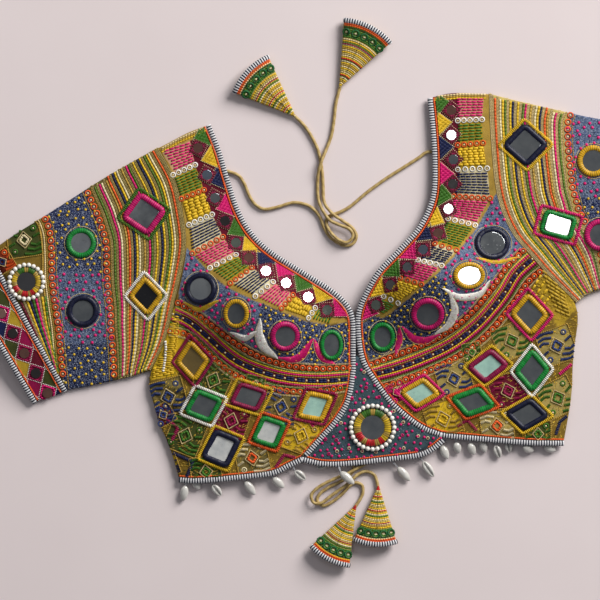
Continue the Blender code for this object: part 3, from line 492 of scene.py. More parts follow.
WEAVE = 2 * math.pi / 0.0011
cloth_finish, dye, shader = finish_with("patched_cotton", Roughness=0.85, Specular_IOR_Level=0.15)
place = dye.place()
warp = (place.part("X") * WEAVE).sine()
weft = (place.part("Y") * WEAVE).sine()
weave = (warp * weft).kept(-1, 1)
wear = dye.noise(place, 90.0, 4.0).kept(0.3, 0.7)
seeds = dye.noise(place, 900.0, 1.0, 0.4)
ground = dye.attribute("ground")
worn = (weave * 0.35 + wear * 0.65).tint((0.55, 0.53, 0.52, 1), (1.1, 1.1, 1.1, 1))
cloth_colour = ground.shaded(worn)
fleck = seeds.kept(0.52, 0.58) * dye.attribute("fleck", "Fac")
cloth_colour = (fleck * 0.6).tint(cloth_colour, (0.26, 0.29, 0.38, 1))
relief = weave * 0.4 + seeds * 0.6
feed(shader, Base_Color=cloth_colour, Normal=dye.bump(relief, 0.7, 0.0006))


def ridge(piece, creases):
    """Creases pressed into the cloth: (x, y, x, y, width, rise), in millimetres."""
    spots = points_of(piece.data)
    for ax, ay, bx, by, width, rise in creases:
        run = np.array([bx - ax, by - ay], float)
        length = norm(run)
        run /= length
        away = spots[:, :2] / MM - np.array([ax, ay])
        along = (away @ run) / length
        across = (away @ left_of(run)) / width
        ends = np.clip(1 - (2 * along - 1) ** 2, 0, 1)
        spots[:, 2] += rise * MM * ends * np.exp(-across ** 2 * 2) * (spots[:, 2] > CREASED_ABOVE)
    piece.data.vertices.foreach_set("co", spots.ravel())
    piece.data.update()


# The paper pattern of the two fronts. Strap blocks from the shoulder down lie between rows of
# rings: the two ends of each row
BLOCK_ROWS = {
    "left": [((161, 150), (190, 141)), ((175, 174), (195, 165)), ((183.5, 198), (204, 190)),
             ((191, 224), (212, 214.5)), ((195, 252), (223, 237)), ((212.5, 267), (236, 255)),
             ((232.5, 282), (252, 268)), ((257, 295), (273, 282)), ((282.5, 307), (293, 295)),
             ((309, 317), (315, 308)), ((330, 323), (334, 314))],
    "right": [((459, 97), (484, 97)), ((460, 120.5), (482, 119.5)), ((460, 145), (483, 143)),
              ((460.5, 169.5), (487, 168.5)), ((457, 196.5), (490, 198.5)),
              ((450.5, 219.5), (475, 225.5)), ((436.5, 244.5), (456, 250.5)),
              ((420, 261), (441, 266)), ((402.5, 279), (421, 284.5)), ((385, 297), (398, 303)),
              ((376, 311), (384, 314))]}
BLOCKS = ("pink", "green", "yellow", "navy", "pink", "green", "navy", "pink", "yellow", "green")
BLOCK_GROUND = {"pink": "peach", "green": "mustard", "yellow": "mustard", "navy": "cream"}
# Triangles of plain cloth along the neck edge, then the little mirrors between them
FLAG_COLOURS = ("green", "yellow", "navy", "pink", "green", "yellow", "navy", "pink", "green",
                "yellow", "pink")
FLAGS = {
    "left": [(203, 136), (211, 157), (219, 179), (229, 205), (240, 228), (251, 246), (265, 258),
             (284, 270), (302, 282), (322, 294), (341, 307)],
    "right": [(442, 102), (442, 123), (443, 148), (443, 173), (440, 196), (433, 217), (424, 233),
              (409, 251), (393, 270), (376, 288), (365, 309)]}
CHIPS = {
    "left": [(198, 148), (207, 175), (215, 198), (225, 221), (236, 243), (249, 258), (266, 271),
             (286, 283), (308, 297), (327, 310)],
    "right": [(451.5, 110), (451.5, 135), (453.5, 159.5), (453, 184), (448.5, 209), (438, 233.5),
              (423, 250), (407.5, 267.5), (390.5, 285), (376, 305)]}
# The cups: a slate field with pink knots above, a navy one with yellow knots towards the middle
SLATE_FIELD = {
    "left": [(187, 248), (196, 258), (213, 277), (232, 290), (257, 302), (283, 313), (309, 322),
             (332, 326), (347, 322), (353, 340), (353, 364), (320, 365), (290, 362), (262, 353),
             (235, 338), (215, 324), (195, 310), (178, 300)],
    "right": [(497, 192), (503, 212), (513, 233), (525, 247), (519, 254), (500, 273), (489, 289),
              (474, 306), (454, 324), (430, 338), (400, 350), (371, 361), (362, 345), (362, 325),
              (372, 316), (384, 318), (400, 306), (421, 288), (441, 270), (456, 254), (476, 229),
              (490, 205)]}
NAVY_FIELD = {
    "left": [(262, 303), (283, 313), (309, 322), (332, 326), (347, 322), (353, 340), (353, 364),
             (320, 365), (290, 362), (266, 350), (258, 328)],
    "right": [(371, 361), (362, 345), (362, 325), (372, 316), (384, 318), (400, 306), (421, 288),
              (434, 276), (446, 283), (455, 300), (454, 324), (430, 338), (400, 350)]}
# Lines of the bands under the cups: rings, stripes, rings
HIGH_RINGS = {
    "left": [(178, 303), (195, 313), (215, 328), (235, 343), (260, 357), (290, 366), (320, 369),
             (350, 368)],
    "right": [(523, 251), (508, 266), (497, 281), (488, 293), (474, 310), (455, 327), (430, 342),
              (400, 354), (371, 365)]}
STRIPES = {
    "left": [(173, 314), (190, 322), (208, 337), (222, 350), (240, 363), (265, 373), (290, 379),
             (320, 381), (350, 379)],
    "right": [(532, 259), (516, 274), (505, 292), (492, 309), (475, 327), (450, 346), (420, 360),
              (395, 369), (372, 375)]}
LOW_RINGS = {
    "left": [(170, 331), (188, 335), (205, 349), (218, 362), (235, 375), (260, 386), (290, 391.5),
             (320, 391), (347, 387)],
    "right": [(545, 268), (529, 281), (516, 300), (505, 314), (490, 332), (470, 349), (440, 366),
              (402, 381), (380, 388)]}
# Patchwork squares of the lower fronts: centre, half size, turn in degrees, ground, thread and,
# where it isn't the same thread, the colour of the lozenge
CELLS = {
    "left": [(168, 397, 17.5, 16, "khaki", "blue"), (213, 380, 17.0, -24, "moss", "green"),
             (231, 421, 17.0, -18, "maroon", "wine"), (281, 407, 17.0, -14, "khaki", "blue"),
             (185, 436, 17.5, -22, "moss", "green"),
             (301, 436, 17.0, -20, "yellow", "gold", "yellow"),
             (252, 458, 16.4, 12, "khaki", "cream", "orange"), (206, 472, 15.2, 8, "moss", "green"),
             (163, 415, 10.5, 30, "maroon", "blue"), (316, 412, 11.7, -60, "maroon", "pink"),
             (255, 385, 9.4, -10, "moss", "green"), (168, 466, 10.5, 20, "yellow", "navy")],
    # The right front's khaki squares take the lighter copy of khaki: painted light on the side
    # nearer the key lamp.
    "right": [(512, 341, 17.0, 24, "straw", "green"), (557, 346, 17.5, 20, "straw", "blue"),
              (454, 379, 17.0, 16, "straw", "blue"), (508, 391, 17.0, 20, "maroon", "wine"),
              (558, 398, 17.5, 26, "straw", "green"),
              (443, 419, 17.0, 18, "yellow", "gold", "yellow"),
              (497, 426, 16.4, 6, "straw", "cream", "orange"), (538, 434, 12.9, 0, "moss", "green"),
              (397, 392, 10.5, 30, "maroon", "pink"), (472, 352, 9.4, 10, "moss", "green")]}
# Grounds of the straps and of the band along the neck, and the patch below each armhole
STRAP_GROUND = {
    "left": [(120, 140), (212, 120), (362, 290), (362, 322), (300, 325), (240, 300), (186, 250),
             (180, 180)],
    "right": [(430, 90), (490, 90), (500, 200), (455, 262), (384, 322), (360, 322), (362, 290),
              (430, 200)]}
NECK_BAND = {
    "left": [(190, 141), (195, 165), (204, 190), (212, 214.5), (223, 237), (236, 255), (252, 268),
             (273, 282), (293, 295), (315, 308), (334, 318), (364, 318), (364, 290), (230, 190),
             (212, 120)],
    "right": [(459, 90), (460, 120), (460, 170), (457, 196.5), (450.5, 219.5), (436.5, 244.5),
              (420, 261), (402.5, 279), (385, 297), (374, 318), (350, 318), (352, 290), (430, 190),
              (430, 90)]}
ARM_PATCH = {
    "left": ("yellow", [(150, 306), (180, 310), (186, 344), (178, 376), (150, 380)]),
    "right": ("mustard", [(536, 280), (560, 268), (582, 300), (560, 330), (545, 305)])}
# Creases pressed in at the armpits, at the hem and below the cups, in millimetres
CREASES = {
    "left": [(-182, -84, -128, -104, 5, 2.2), (-184, -96, -140, -132, 4, -1.6),
             (-176, -70, -150, -30, 4, 1.4), (-150, -160, -98, -172, 6, 1.4),
             (-30, -95, 8, -82, 5, 1.2)],
    "right": [(238, -36, 205, -60, 5, 2.2), (240, -20, 214, 6, 4, 1.6),
              (236, -80, 196, -96, 5, -1.6), (150, -128, 200, -138, 6, 1.4),
              (44, -88, 74, -78, 5, 1.2)]}


def heading_of(degrees):
    """A unit direction in the plan."""
    return np.array([math.cos(math.radians(degrees)), math.sin(math.radians(degrees))])


def cell_patches(cells):
    """The ground cloth of each patchwork square."""
    found = []
    for u, v, size, turn, ground, *_ in cells:
        x = heading_of(turn)
        found.append((ground, 0, [at(u, v) + (x * a + left_of(x) * b) * size
                                  for a, b in ((1, 1), (-1, 1), (-1, -1), (1, -1))]))
    return found


def block_patches(rows):
    """The ground cloth under each strap block."""
    found = []
    for (a, b), (c, d), colour in zip(rows, rows[1:], BLOCKS):
        found.append((BLOCK_GROUND[colour], 0, places(a, b, d, c)))
    return found


def band_patch(colour, high, low, spare):
    """A strip of cloth between two lines, reaching a little past them."""
    high, low = places(*high), places(*low[:len(high)])
    out = (high - low) / norm(high - low, axis=1)[:, None] * spare
    return colour, 0, np.vstack([high + out, (low - out)[::-1]])


fronts = {}
for side in ("left", "right"):
    cloth = fronts[side] = smooth_copy(f"front_{side}_cloth", f"front_{side}", cloth_finish, 1)
    ridge(cloth, CREASES[side])
    patch, corners = ARM_PATCH[side]
    # The band under each cup gets a dark rust ground, in part painted shade under the cup.
    dyed(cloth, [("gold", 0, places(*STRAP_GROUND[side])), ("maroon", 0, places(*NECK_BAND[side]))]
         + block_patches(BLOCK_ROWS[side]) + cell_patches(CELLS[side])
         + [("slate", 1, places(*SLATE_FIELD[side])), ("navy", 1, places(*NAVY_FIELD[side])),
            band_patch("rust", HIGH_RINGS[side], LOW_RINGS[side], 4), (patch, 0, places(*corners))],
         "ochre")
gusset = smooth_copy("gusset_cloth", "front_gusset", cloth_finish)
dyed(gusset, [], "teal")
for cloth, node, slot, flat, area, lies_on in (
        (fronts["left"], "front_left", "embroidered_front", (0.215, 0.385), 0.045,
         ["back_left"]),
        (fronts["right"], "front_right", "embroidered_front", (0.225, 0.385), 0.048,
         ["back_right"]),
        (gusset, "front_gusset", "gusset_cloth", (0.145, 0.115), 0.0065,
         ["back_left", "back_right"])):
    placed(cloth, slot, node)

# ---------------------------------------------------------------- stitching on the fronts
# Cotton and silk thread worked by hand: rows of dashes, chain lines, eyelet rings, knots, satin
# crescents and gold braid. Each stitch is a small padded body pressed into the cloth under it.
EYELET_SIDES = 10
OVAL_STEPS = 48
ABOVE_ALL = 0.2         # height, in metres, from which the cloth's upper face is looked for
STEEPEST = 0.15         # least rise of the cloth's normal where a stitch still holds
LONG_STITCH = 3.2       # a stitch longer than this, in millimetres, needs cloth under its ends
TONE_SPREAD = 0.16      # how much the thread's tone changes from stitch to stitch
WANDER = 0.22           # how far a scattered knot strays, as a share of the gap between knots
EDGE_ROW = 3.9          # from a bound edge to the first row of stitches, in millimetres
UNDER_FRAME = 0.5       # a sewn-on mirror keeps stitches this far, in millimetres, from its edge
UNDER_CHIP = 5.0        # radius, in millimetres, of what a chip of mirror covers


def unit(name, verts, faces):
    """A motif to be repeated, kept out of the scene."""
    mesh = closed_mesh(name, verts, faces)
    mesh.shade_smooth()
    motifs.objects.link(bpy.data.objects.new(name, mesh))


def hoop(name, sides, section, inner):
    """A unit eyelet: a ring of radius 1 whose thread reaches in to the inner radius."""
    verts = []
    middle, half = (1 + inner) / 2, (1 - inner) / 2
    for turn in round_steps(sides):
        for roll in round_steps(section):
            reach = middle + half * math.cos(roll)
            verts.append((reach * math.cos(turn), reach * math.sin(turn),
                          0.5 * math.sin(roll) + 0.3))
    unit(name, verts, walls(section, sides, joined=True))


def bead(name, sides, rings):
    """A bead or knot of radius 1 about the place it is sewn to."""
    verts, faces = [(0, 0, -1.0)], []
    for r in range(1, rings):
        roll = math.pi * r / rings
        for k in range(sides):
            turn = 2 * math.pi * (k + 0.5 * (r % 2)) / sides
            verts.append((math.sin(roll) * math.cos(turn), math.sin(roll) * math.sin(turn),
                          -math.cos(roll)))
    verts.append((0, 0, 1.0))
    for k in range(sides):
        j = (k + 1) % sides
        faces.append((0, 1 + j, 1 + k))
        for r in range(rings - 2):
            a = 1 + r * sides
            faces.append((a + k, a + j, a + sides + j, a + sides + k))
        last = 1 + (rings - 2) * sides
        faces.append((last + k, last + j, len(verts) - 1))
    unit(name, verts, faces)


def loaf(name, levels):
    """A stitch of unit length and width: a closed loaf, each level given by one corner."""
    verts = []
    for x, y, z in levels:
        verts += [(-x, -y, z), (x, -y, z), (x, y, z), (-x, y, z)]
    top = len(levels) * 4
    verts += [(-0.26, 0, 1.0), (0.26, 0, 1.0)]
    a, b, c, d = range(top - 4, top)
    faces = walls(4, len(levels)) + [(a, b, top + 1, top), (c, d, top, top + 1), (b, c, top + 1),
                                     (d, a, top), (0, 3, 2, 1)]
    unit(name, verts, faces)


motifs = bpy.data.collections.new("motifs")
loaf("motif_0_stitch", [(0.46, 0.42, -0.25), (0.46, 0.5, 0.4)])
hoop("motif_1_eyelet", EYELET_SIDES, 3, 0.5)
bead("motif_2_knot", 5, 3)
loaf("motif_3_seed", [(0.5, 0.5, -0.2)])
KINDS = {"stitch": 0, "eyelet": 1, "knot": 2, "seed": 3}

# One tree puts a motif on each point of a mesh, turned and sized by the point's own values.
sewing = bpy.data.node_groups.new("sewing", "GeometryNodeTree")
sewing.interface.new_socket("Geometry", in_out="INPUT", socket_type="NodeSocketGeometry")
for label, kind, value in (("Motifs", "Collection", None), ("Thread", "Material", None),
                           ("Lean", "Float", 0.05), ("Seed", "Int", 1)):
    socket = sewing.interface.new_socket(label, in_out="INPUT", socket_type="NodeSocket" + kind)
    if value is not None:
        socket.default_value = value
sewing.interface.new_socket("Geometry", in_out="OUTPUT", socket_type="NodeSocketGeometry")
node = sewing.nodes.new
given, result = node("NodeGroupInput"), node("NodeGroupOutput")
shelf = node("GeometryNodeCollectionInfo")
shelf.inputs["Separate Children"].default_value = True
shelf.inputs["Reset Children"].default_value = True
kind, turn, size = (node("GeometryNodeInputNamedAttribute") for _ in range(3))
kind.data_type, turn.data_type, size.data_type = "INT", "FLOAT_VECTOR", "FLOAT_VECTOR"
for holder, label in ((kind, "kind"), (turn, "turn"), (size, "size")):
    holder.inputs["Name"].default_value = label
lean = node("FunctionNodeRandomValue")
lean.data_type = "FLOAT_VECTOR"
least = node("ShaderNodeMath")
least.operation = "MULTIPLY"
least.inputs[1].default_value = -1.0
turned = node("ShaderNodeVectorMath")
sown = node("GeometryNodeInstanceOnPoints")
sown.inputs["Pick Instance"].default_value = True
real = node("GeometryNodeRealizeInstances")
dressed = node("GeometryNodeSetMaterial")
for first, second in (
        (given.outputs["Motifs"], shelf.inputs["Collection"]),
        (given.outputs["Geometry"], sown.inputs["Points"]),
        (shelf.outputs[0], sown.inputs["Instance"]),
        (kind.outputs["Attribute"], sown.inputs["Instance Index"]),
        (given.outputs["Lean"], lean.inputs["Max"]), (given.outputs["Lean"], least.inputs[0]),
        (least.outputs[0], lean.inputs["Min"]), (given.outputs["Seed"], lean.inputs["Seed"]),
        (turn.outputs["Attribute"], turned.inputs[0]), (lean.outputs[0], turned.inputs[1]),
        (turned.outputs[0], sown.inputs["Rotation"]),
        (size.outputs["Attribute"], sown.inputs["Scale"]),
        (sown.outputs[0], real.inputs[0]), (real.outputs[0], dressed.inputs["Geometry"]),
        (given.outputs["Thread"], dressed.inputs["Material"]),
        (dressed.outputs[0], result.inputs["Geometry"])):
    sewing.links.new(first, second)


def sew(name, rows, finish, slot, seed, lean=0.02, node=None):
    """Rows of (spot, turn, size, kind, colour) made into one plain mesh by the sewing tree."""
    spots, turns, sizes, kinds, colours = zip(*rows)
    mesh = bpy.data.meshes.new(name)
    mesh.from_pydata(spots, [], [])
    mark(mesh, "turn", "FLOAT_VECTOR", turns)
    mark(mesh, "size", "FLOAT_VECTOR", sizes)
    mark(mesh, "kind", "INT", kinds)
    mark(mesh, "thread", "FLOAT_COLOR", [(*colour, 0)[:4] for colour in colours])
    piece = shown(name, mesh)
    maker = piece.modifiers.new("sewing", "NODES")
    maker.node_group = sewing
    sockets = {item.name: item.identifier for item in sewing.interface.items_tree
               if item.in_out == "INPUT"}
    for label, value in (("Motifs", motifs), ("Thread", finish), ("Lean", lean), ("Seed", seed)):
        maker[sockets[label]] = value
    settle(piece)
    for label in ("kind", "size", "turn"):
        if label in piece.data.attributes:
            piece.data.attributes.remove(piece.data.attributes[label])
    placed(piece, slot, node)


thread_finish, dye, shader = finish_with("embroidery_thread", Specular_IOR_Level=0.25)
place = dye.place()
strand = dye.noise(place, 1600.0, 2.0)
slub = dye.noise(place, 150.0, 2.0)
shade = strand.kept(0.3, 0.7) * 0.6 + slub.kept(0.35, 0.65) * 0.4
lit = shade.tint((0.62, 0.60, 0.60, 1), (1.22, 1.20, 1.18, 1))
colour = dye.attribute("thread").shaded(lit)
feed(shader, Base_Color=colour, Normal=dye.bump(strand, 0.4, 0.0003),
     Roughness=shade.kept(0, 1, 0.62, 0.42), Metallic=dye.attribute("thread", "Alpha") * 0.3)


def pairs(spots):
    """Each spot of a closed outline with the next one."""
    return zip(spots, spots[1:] + spots[:1])


def within(spots, corners, avoid):
    """The spots that lie inside a shape and outside the shapes to avoid."""
    spots = spots[inside(spots, corners)]
    for shape in avoid:
        spots = spots[~inside(spots, shape)]
    return spots


class Needlework:
    """The stitches on one piece of cloth; paths are plan points in millimetres."""

    def __init__(self, cloth, seed, name=None, clear=()):
        self.tree = BVHTree.FromObject(cloth, bpy.context.evaluated_depsgraph_get())
        self.chance = np.random.default_rng(seed)
        self.seed = seed
        self.mirrors = mirrors_of(name)
        self.clear = [under_frame(row) for row in self.mirrors] + list(clear)
        self.rows = []

    def surface(self, x, y):
        """The place and the normal of the cloth's upper face under a plan point."""
        return self.tree.ray_cast(Vector((x * MM, y * MM, ABOVE_ALL)), Vector((0, 0, -1)))[:2]

    def put(self, spot, run, size, kind, colour, lift=0.0):
        """One motif at a place; dropped off the cloth's edge and under the sewn-on mirrors."""
        x, y = float(spot[0]), float(spot[1])
        if any(keep(x, y) for keep in self.clear):
            return
        hit, normal = self.surface(x, y)
        if hit is None or normal.z < STEEPEST:
            return
        run = Vector((run[0], run[1], 0.0)).normalized()
        if size[0] > LONG_STITCH:
            ends = ((x + run.x * size[0] * k, y + run.y * size[0] * k) for k in (-0.42, 0.42))
            if any(self.surface(*end)[0] is None for end in ends):
                return
        tangent = (run - normal * run.dot(normal)).normalized()
        across = normal.cross(tangent)
        slope = max(0.35, math.hypot(tangent.x, tangent.y))
        turn = Matrix((tangent, across, normal)).transposed().to_euler()
        tone = 1 + TONE_SPREAD * (self.chance.random() - 0.5)
        metal = float(colour in METAL)
        colour = THREAD[colour]
        where = hit + normal * lift * MM
        self.rows.append((tuple(where), tuple(turn),
                          (size[0] * MM / slope if kind == "stitch" else size[0] * MM,
                           size[1] * MM, size[2] * MM),
                          KINDS[kind], (*(min(1.0, c * tone) for c in colour), metal)))

    def line(self, path, colour, pitch, width, height, share=1.1, lift=0.0):
        """A chain or running stitch along a path; share is the stitch's part of its pitch."""
        path = at_steps(path, pitch)
        kind = "stitch" if width > 1.3 else "seed"
        for first, second in zip(path, path[1:]):
            self.put((first + second) / 2, second - first,
                     (norm(second - first) * share, width, height), kind, colour, lift)

    def braid(self, path, colour, width):
        """Couched gold braid: two slanting rows that meet like an ear of wheat."""
        path = at_steps(path, 1.5)
        runs = run_of(path)
        for spot, run in zip(path, runs):
            side = left_of(run)
            for turn in (1, -1):
                self.put(spot + side * turn * width * 0.25, run * 0.8 + side * turn * 0.6,
                         (width * 0.85, 0.95, 0.9), "seed", colour)

    def stripe(self, path, colour, braid_width, *stitching, gold="zari"):
        """Braid where the stripe's colour is gold, otherwise a row of stitches."""
        if colour == "zari":
            self.braid(path, gold, braid_width)
        else:
            self.line(path, colour, *stitching)

    def ribs(self, path, colour, reach, pitch, width, height, lift=0.0, kind="stitch"):
        """Blanket stitches, or a satin bar, standing across a path."""
        path = at_steps(path, pitch)
        for spot, run in zip(path, run_of(path)):
            self.put(spot, left_of(run), (reach, width, height), kind, colour, lift)

    def eyelets(self, path, colour, radius, centre="zari"):
        """A row of thread-wrapped rings, each round a tiny bead or mirror chip."""
        for spot in at_steps(path, radius * 2.12):
            self.eyelet(spot, colour, radius, centre)

    def eyelet(self, spot, colour, radius, centre):
        wobble = radius * (1 + 0.08 * (self.chance.random() - 0.5))
        self.put(spot, (1, 0), (wobble, wobble, 1.5), "eyelet", colour)
        self.put(spot, (1, 0), (radius * 0.42, radius * 0.42, 0.7), "knot", centre)

    def knots(self, spots, colour, radius, rise=1.2):
        for spot in spots:
            turn = self.chance.random() * 6.28
            self.put(spot, (math.cos(turn), math.sin(turn)), (radius, radius, rise), "knot", colour)

    def scatter(self, corners, gap, colour, radius, avoid=()):
        """Knots on a loose lattice inside a shape."""
        low, high = np.min(corners, axis=0), np.max(corners, axis=0)
        found = []
        for j, y in enumerate(np.arange(low[1], high[1], gap * 0.8)):
            for x in np.arange(low[0] + gap * 0.5 * (j % 2), high[0], gap):
                found.append((x, y) + gap * WANDER * (self.chance.random(2) * 2 - 1))
        self.knots(within(np.array(found), corners, avoid), colour, radius)

    def seeds(self, corners, colours, amount, length=1.5, avoid=(), flow=False):
        """Short seed stitches strewn at all angles, or darning that flows one way."""
        low, high = np.min(corners, axis=0), np.max(corners, axis=0)
        spots = low + (high - low) * self.chance.random((amount, 2))
        for k, spot in enumerate(within(spots, corners, avoid)):
            turn = self.chance.random() * 3.14
            if flow:
                turn = 0.5 + 0.7 * math.sin(spot[0] / 19 + spot[1] / 27) + turn * 0.08
            self.put(spot, (math.cos(turn), math.sin(turn)), (length, 0.65, 0.5), "seed",
                     colours[k % len(colours)])

    def satin(self, first, second, colour, pitch, width, height):
        """Long stitches laid side by side from one edge to the other."""
        count = max(len(first), round(max(steps_of(e).sum() for e in (first, second)) / pitch))
        first, second = at_steps(first, count=count), at_steps(second, count=count)
        for a, b in zip(first, second):
            if norm(b - a) > 0.8:
                self.put((a + b) / 2, b - a, (norm(b - a) * 1.04, width, height), "stitch", colour)

    def dashes(self, corners, colour, lines, length, width, stagger):
        """Lines of running stitch that fill a four-cornered block, first edge to last."""
        a, b, c, d = (np.array(corner, float) for corner in corners)
        for k in range(lines):
            share = (k + 0.5) / lines
            start, end = a + (d - a) * share, b + (c - b) * share
            run, count = end - start, max(2, round(norm(end - start) / length))
            marks = np.arange(-stagger * (k % 2 + self.chance.random()) / 2, count + 0.9) / count
            for low, high in zip(marks, marks[1:]):
                low, high = max(0.0, low), min(1.0, high)
                if high - low > 0.2 / count:
                    self.put(start + run * (low + high) / 2, run,
                             (norm(run) * (high - low) * 0.96, width, 1.3),
                             "stitch", colour)

    def finish(self, name, slot):
        sew(name, self.rows, thread_finish, slot, self.seed, 0.05)


def beside(path, distance):
    """A line beside a path, to its left where the distance is above zero."""
    path = np.array(path, float)
    runs = run_of(path)
    return path + np.column_stack([-runs[:, 1], runs[:, 0]]) * distance


def between(first, second, share, count):
    """A line part of the way from one path to another."""
    first, second = at_steps(first, count=count), at_steps(second, count=count)
    return first + (second - first) * share


# The sewn-on mirrors of each cloth, in millimetres. Round ones: x, y, half width, half height, the
# silk of the frame and the glass's painted reflection. Square ones: x, y, the two half diagonals,
# the silks of the frame and of the border stitched round it, and the glass's painted reflection.
# Pearl-edged ones: x, y, radius, glass's painted reflection.
ROUND_MIRRORS = {
    "front_left": [(-134, 7, 16, 16, "navy", "dark"), (-98.5, -17.5, 12.8, 14.8, "yellow", "dark"),
                   (-50, -40, 14.7, 14.7, "pink", "dark"), (-3.5, -49, 11.5, 16, "green", "dark")],
    "front_right": [(157, 52.5, 18, 16.5, "navy", "dark"),
                    (133.5, 20.5, 16.5, 13.5, "yellow", "bright"),
                    (92.5, -18, 16.5, 16, "pink", "dark"), (47.5, -41, 12.5, 15, "green", "dark")],
    "sleeve_left": [(-254, 53, 15, 15, "green", "dark"), (-252, -15, 16, 16, "navy", "dark")],
    "sleeve_right": [(258, 135, 16, 16, "yellow", "dark"), (265, 61, 16, 16, "pink", "dark")]}
PEARL_MIRRORS = {
    "sleeve_left": [(-308.5, 14, 18.5, "black")],
    "sleeve_right": [(314, 131, 18.5, "dark")],
    "front_gusset": [(37.5, -131.5, 23.5, "dark")]}
SQUARE_MIRRORS = {
    "front_left": [(-142.5, -65, -2, 20.5, 16, 1, "yellow", "wine", "amber"),
                   (-131.5, -110, -6.5, 16, 18.5, 6, "green", "white", "dark"),
                   (-86.5, -101, -8.5, 14, 18.5, 5.5, "maroon", "yellow", "dark"),
                   (-20, -110.5, -7, 14.5, 17.5, 9.5, "yellow", "wine", "mint"),
                   (-66, -136, -6, 15.5, 16.5, 8, "green", "orange", "pale"),
                   (-114, -152.5, -5.5, 18.5, 19, 8.5, "navy", "yellow", "pale")],
    "front_right": [(194.5, -18.5, -1.5, 21, 18.5, -0.5, "yellow", "pink", "dark"),
                    (197, -74.5, 0, 21, 17, 1, "green", "white", "dark"),
                    (153, -70, 3, 16.5, 20, 1, "maroon", "yellow", "mint"),
                    (85, -97, 3.5, 14.5, 19.5, -1, "yellow", "pink", "mint"),
                    (138, -106, 6, 14, 21.5, -4, "green", "orange", "dark"),
                    (192, -118.5, 3.5, 15.5, 21, -1.5, "navy", "yellow", "dark")],
    "sleeve_left": [(-191, 82, -4, 21, 21.5, 3.5, "pink", "green", "dark"),
                    (-189, 0, -1.5, 19, 16.5, 0.5, "yellow", "white", "black")],
    "sleeve_right": [(190.5, 151, -1, 21, 22, 0.5, "navy", "yellow", "dark"),
                     (223, 71, -12.5, 15, 18.5, 6.5, "green", "pink", "bright")]}
SHORT_NAMES = {"front_left": "fl", "front_right": "fr", "sleeve_left": "sl", "sleeve_right": "sr",
               "front_gusset": "gusset"}
Mirror = namedtuple("Mirror", "name kind x y ax ay bx by silk border glass")


def mirrors_of(cloth):
    """Every mirror of one cloth: its two half diagonals are (ax, ay) and (bx, by)."""
    name = "mirror_" + SHORT_NAMES.get(cloth, "")
    found = [Mirror(f"{name}_round_{k}", "round", x, y, wide, 0, 0, high, silk, None, glass)
             for k, (x, y, wide, high, silk, glass) in enumerate(ROUND_MIRRORS.get(cloth, ()), 1)]
    found += [Mirror(name + "_pearl", "pearl", x, y, radius, 0, 0, radius, None, None, glass)
              for x, y, radius, glass in PEARL_MIRRORS.get(cloth, ())]
    return found + [Mirror(f"{name}_square_{k}", "square", *row)
                    for k, row in enumerate(SQUARE_MIRRORS.get(cloth, ()), 1)]


def oval(x, y, across, up):
    """An ellipse's outline."""
    turn = np.linspace(0, 2 * math.pi, OVAL_STEPS + 1)
    return np.column_stack([x + across * np.cos(turn), y + up * np.sin(turn)])


def diamond(x, y, ax, ay, bx, by, soft=0.16, grow=0.0):
    """A four-cornered outline with rounded corners, grown outwards by some millimetres."""
    centre = np.array([x, y], float)
    a, b = np.array([ax, ay], float), np.array([bx, by], float)
    side = norm(a + b) / 2
    a, b = a * (1 + grow / side), b * (1 + grow / side)
    corners = [centre + a, centre + b, centre - a, centre - b]
    outline = []
    for k in range(4):
        last, here, after = corners[k - 1], corners[k], corners[(k + 1) % 4]
        start, end = here + (last - here) * soft, here + (after - here) * soft
        for u in (0.0, 0.25, 0.5, 0.75, 1.0):
            outline.append(start * (1 - u) ** 2 + here * 2 * u * (1 - u) + end * u ** 2)
    outline.append(outline[0])
    return np.array(outline)


def under_frame(row):
    """A test for whether a place is covered by a sewn-on mirror."""
    if row.kind == "square":
        shape = diamond(row.x, row.y, row.ax, row.ay, row.bx, row.by, grow=UNDER_FRAME)
        return lambda x, y: bool(inside([(x, y)], shape)[0])
    return lambda x, y: (((x - row.x) / (row.ax + UNDER_FRAME)) ** 2
                         + ((y - row.y) / (row.by + UNDER_FRAME)) ** 2) < 1


def under_chips(spots):
    """Tests for whether a place is covered by a chip of mirror."""
    return [lambda x, y, c=at(*spot): math.hypot(x - c[0], y - c[1]) < UNDER_CHIP
            for spot in spots]


def borders(work):
    """Blanket stitches round each square mirror, and gold couching round the round ones."""
    for row in work.mirrors:
        if row.kind == "square":
            outline = diamond(row.x, row.y, row.ax, row.ay, row.bx, row.by, 0.06, 3.6)
            work.ribs(outline, row.border, 3.3, 1.8, 1.4, 1.5, 0.7)
        elif row.kind == "round":
            work.line(oval(row.x, row.y, row.ax + 1.6, row.by + 1.6), "zari", 1.6, 1.0, 1.0)


def flag(work, colour, centre, edge, turn):
    """A triangle of satin cloth: its base lies along the neck edge, its point away from it."""
    gap = norm(edge - centre, axis=1)
    k = int(np.argmin(gap))
    run = run_of(edge)[k]
    side = left_of(run) * turn
    half, reach, step = 12.0, 14.0, 1.25
    for m in range(round(reach / step)):
        out = (m + 0.4) * step
        share = 1 - out / reach
        if share <= 0.05:
            break
        middle = edge[k] + side * out
        reach_out = run * half * share
        work.line([middle - reach_out, middle + reach_out], colour, 4.0, 1.5, 0.8, lift=0.3)
    tip = edge[k] + side * reach
    for corner in (edge[k] - run * half, edge[k] + run * half):
        work.knots(at_steps([corner, tip], 1.9), "cream", 0.7, 1.3)


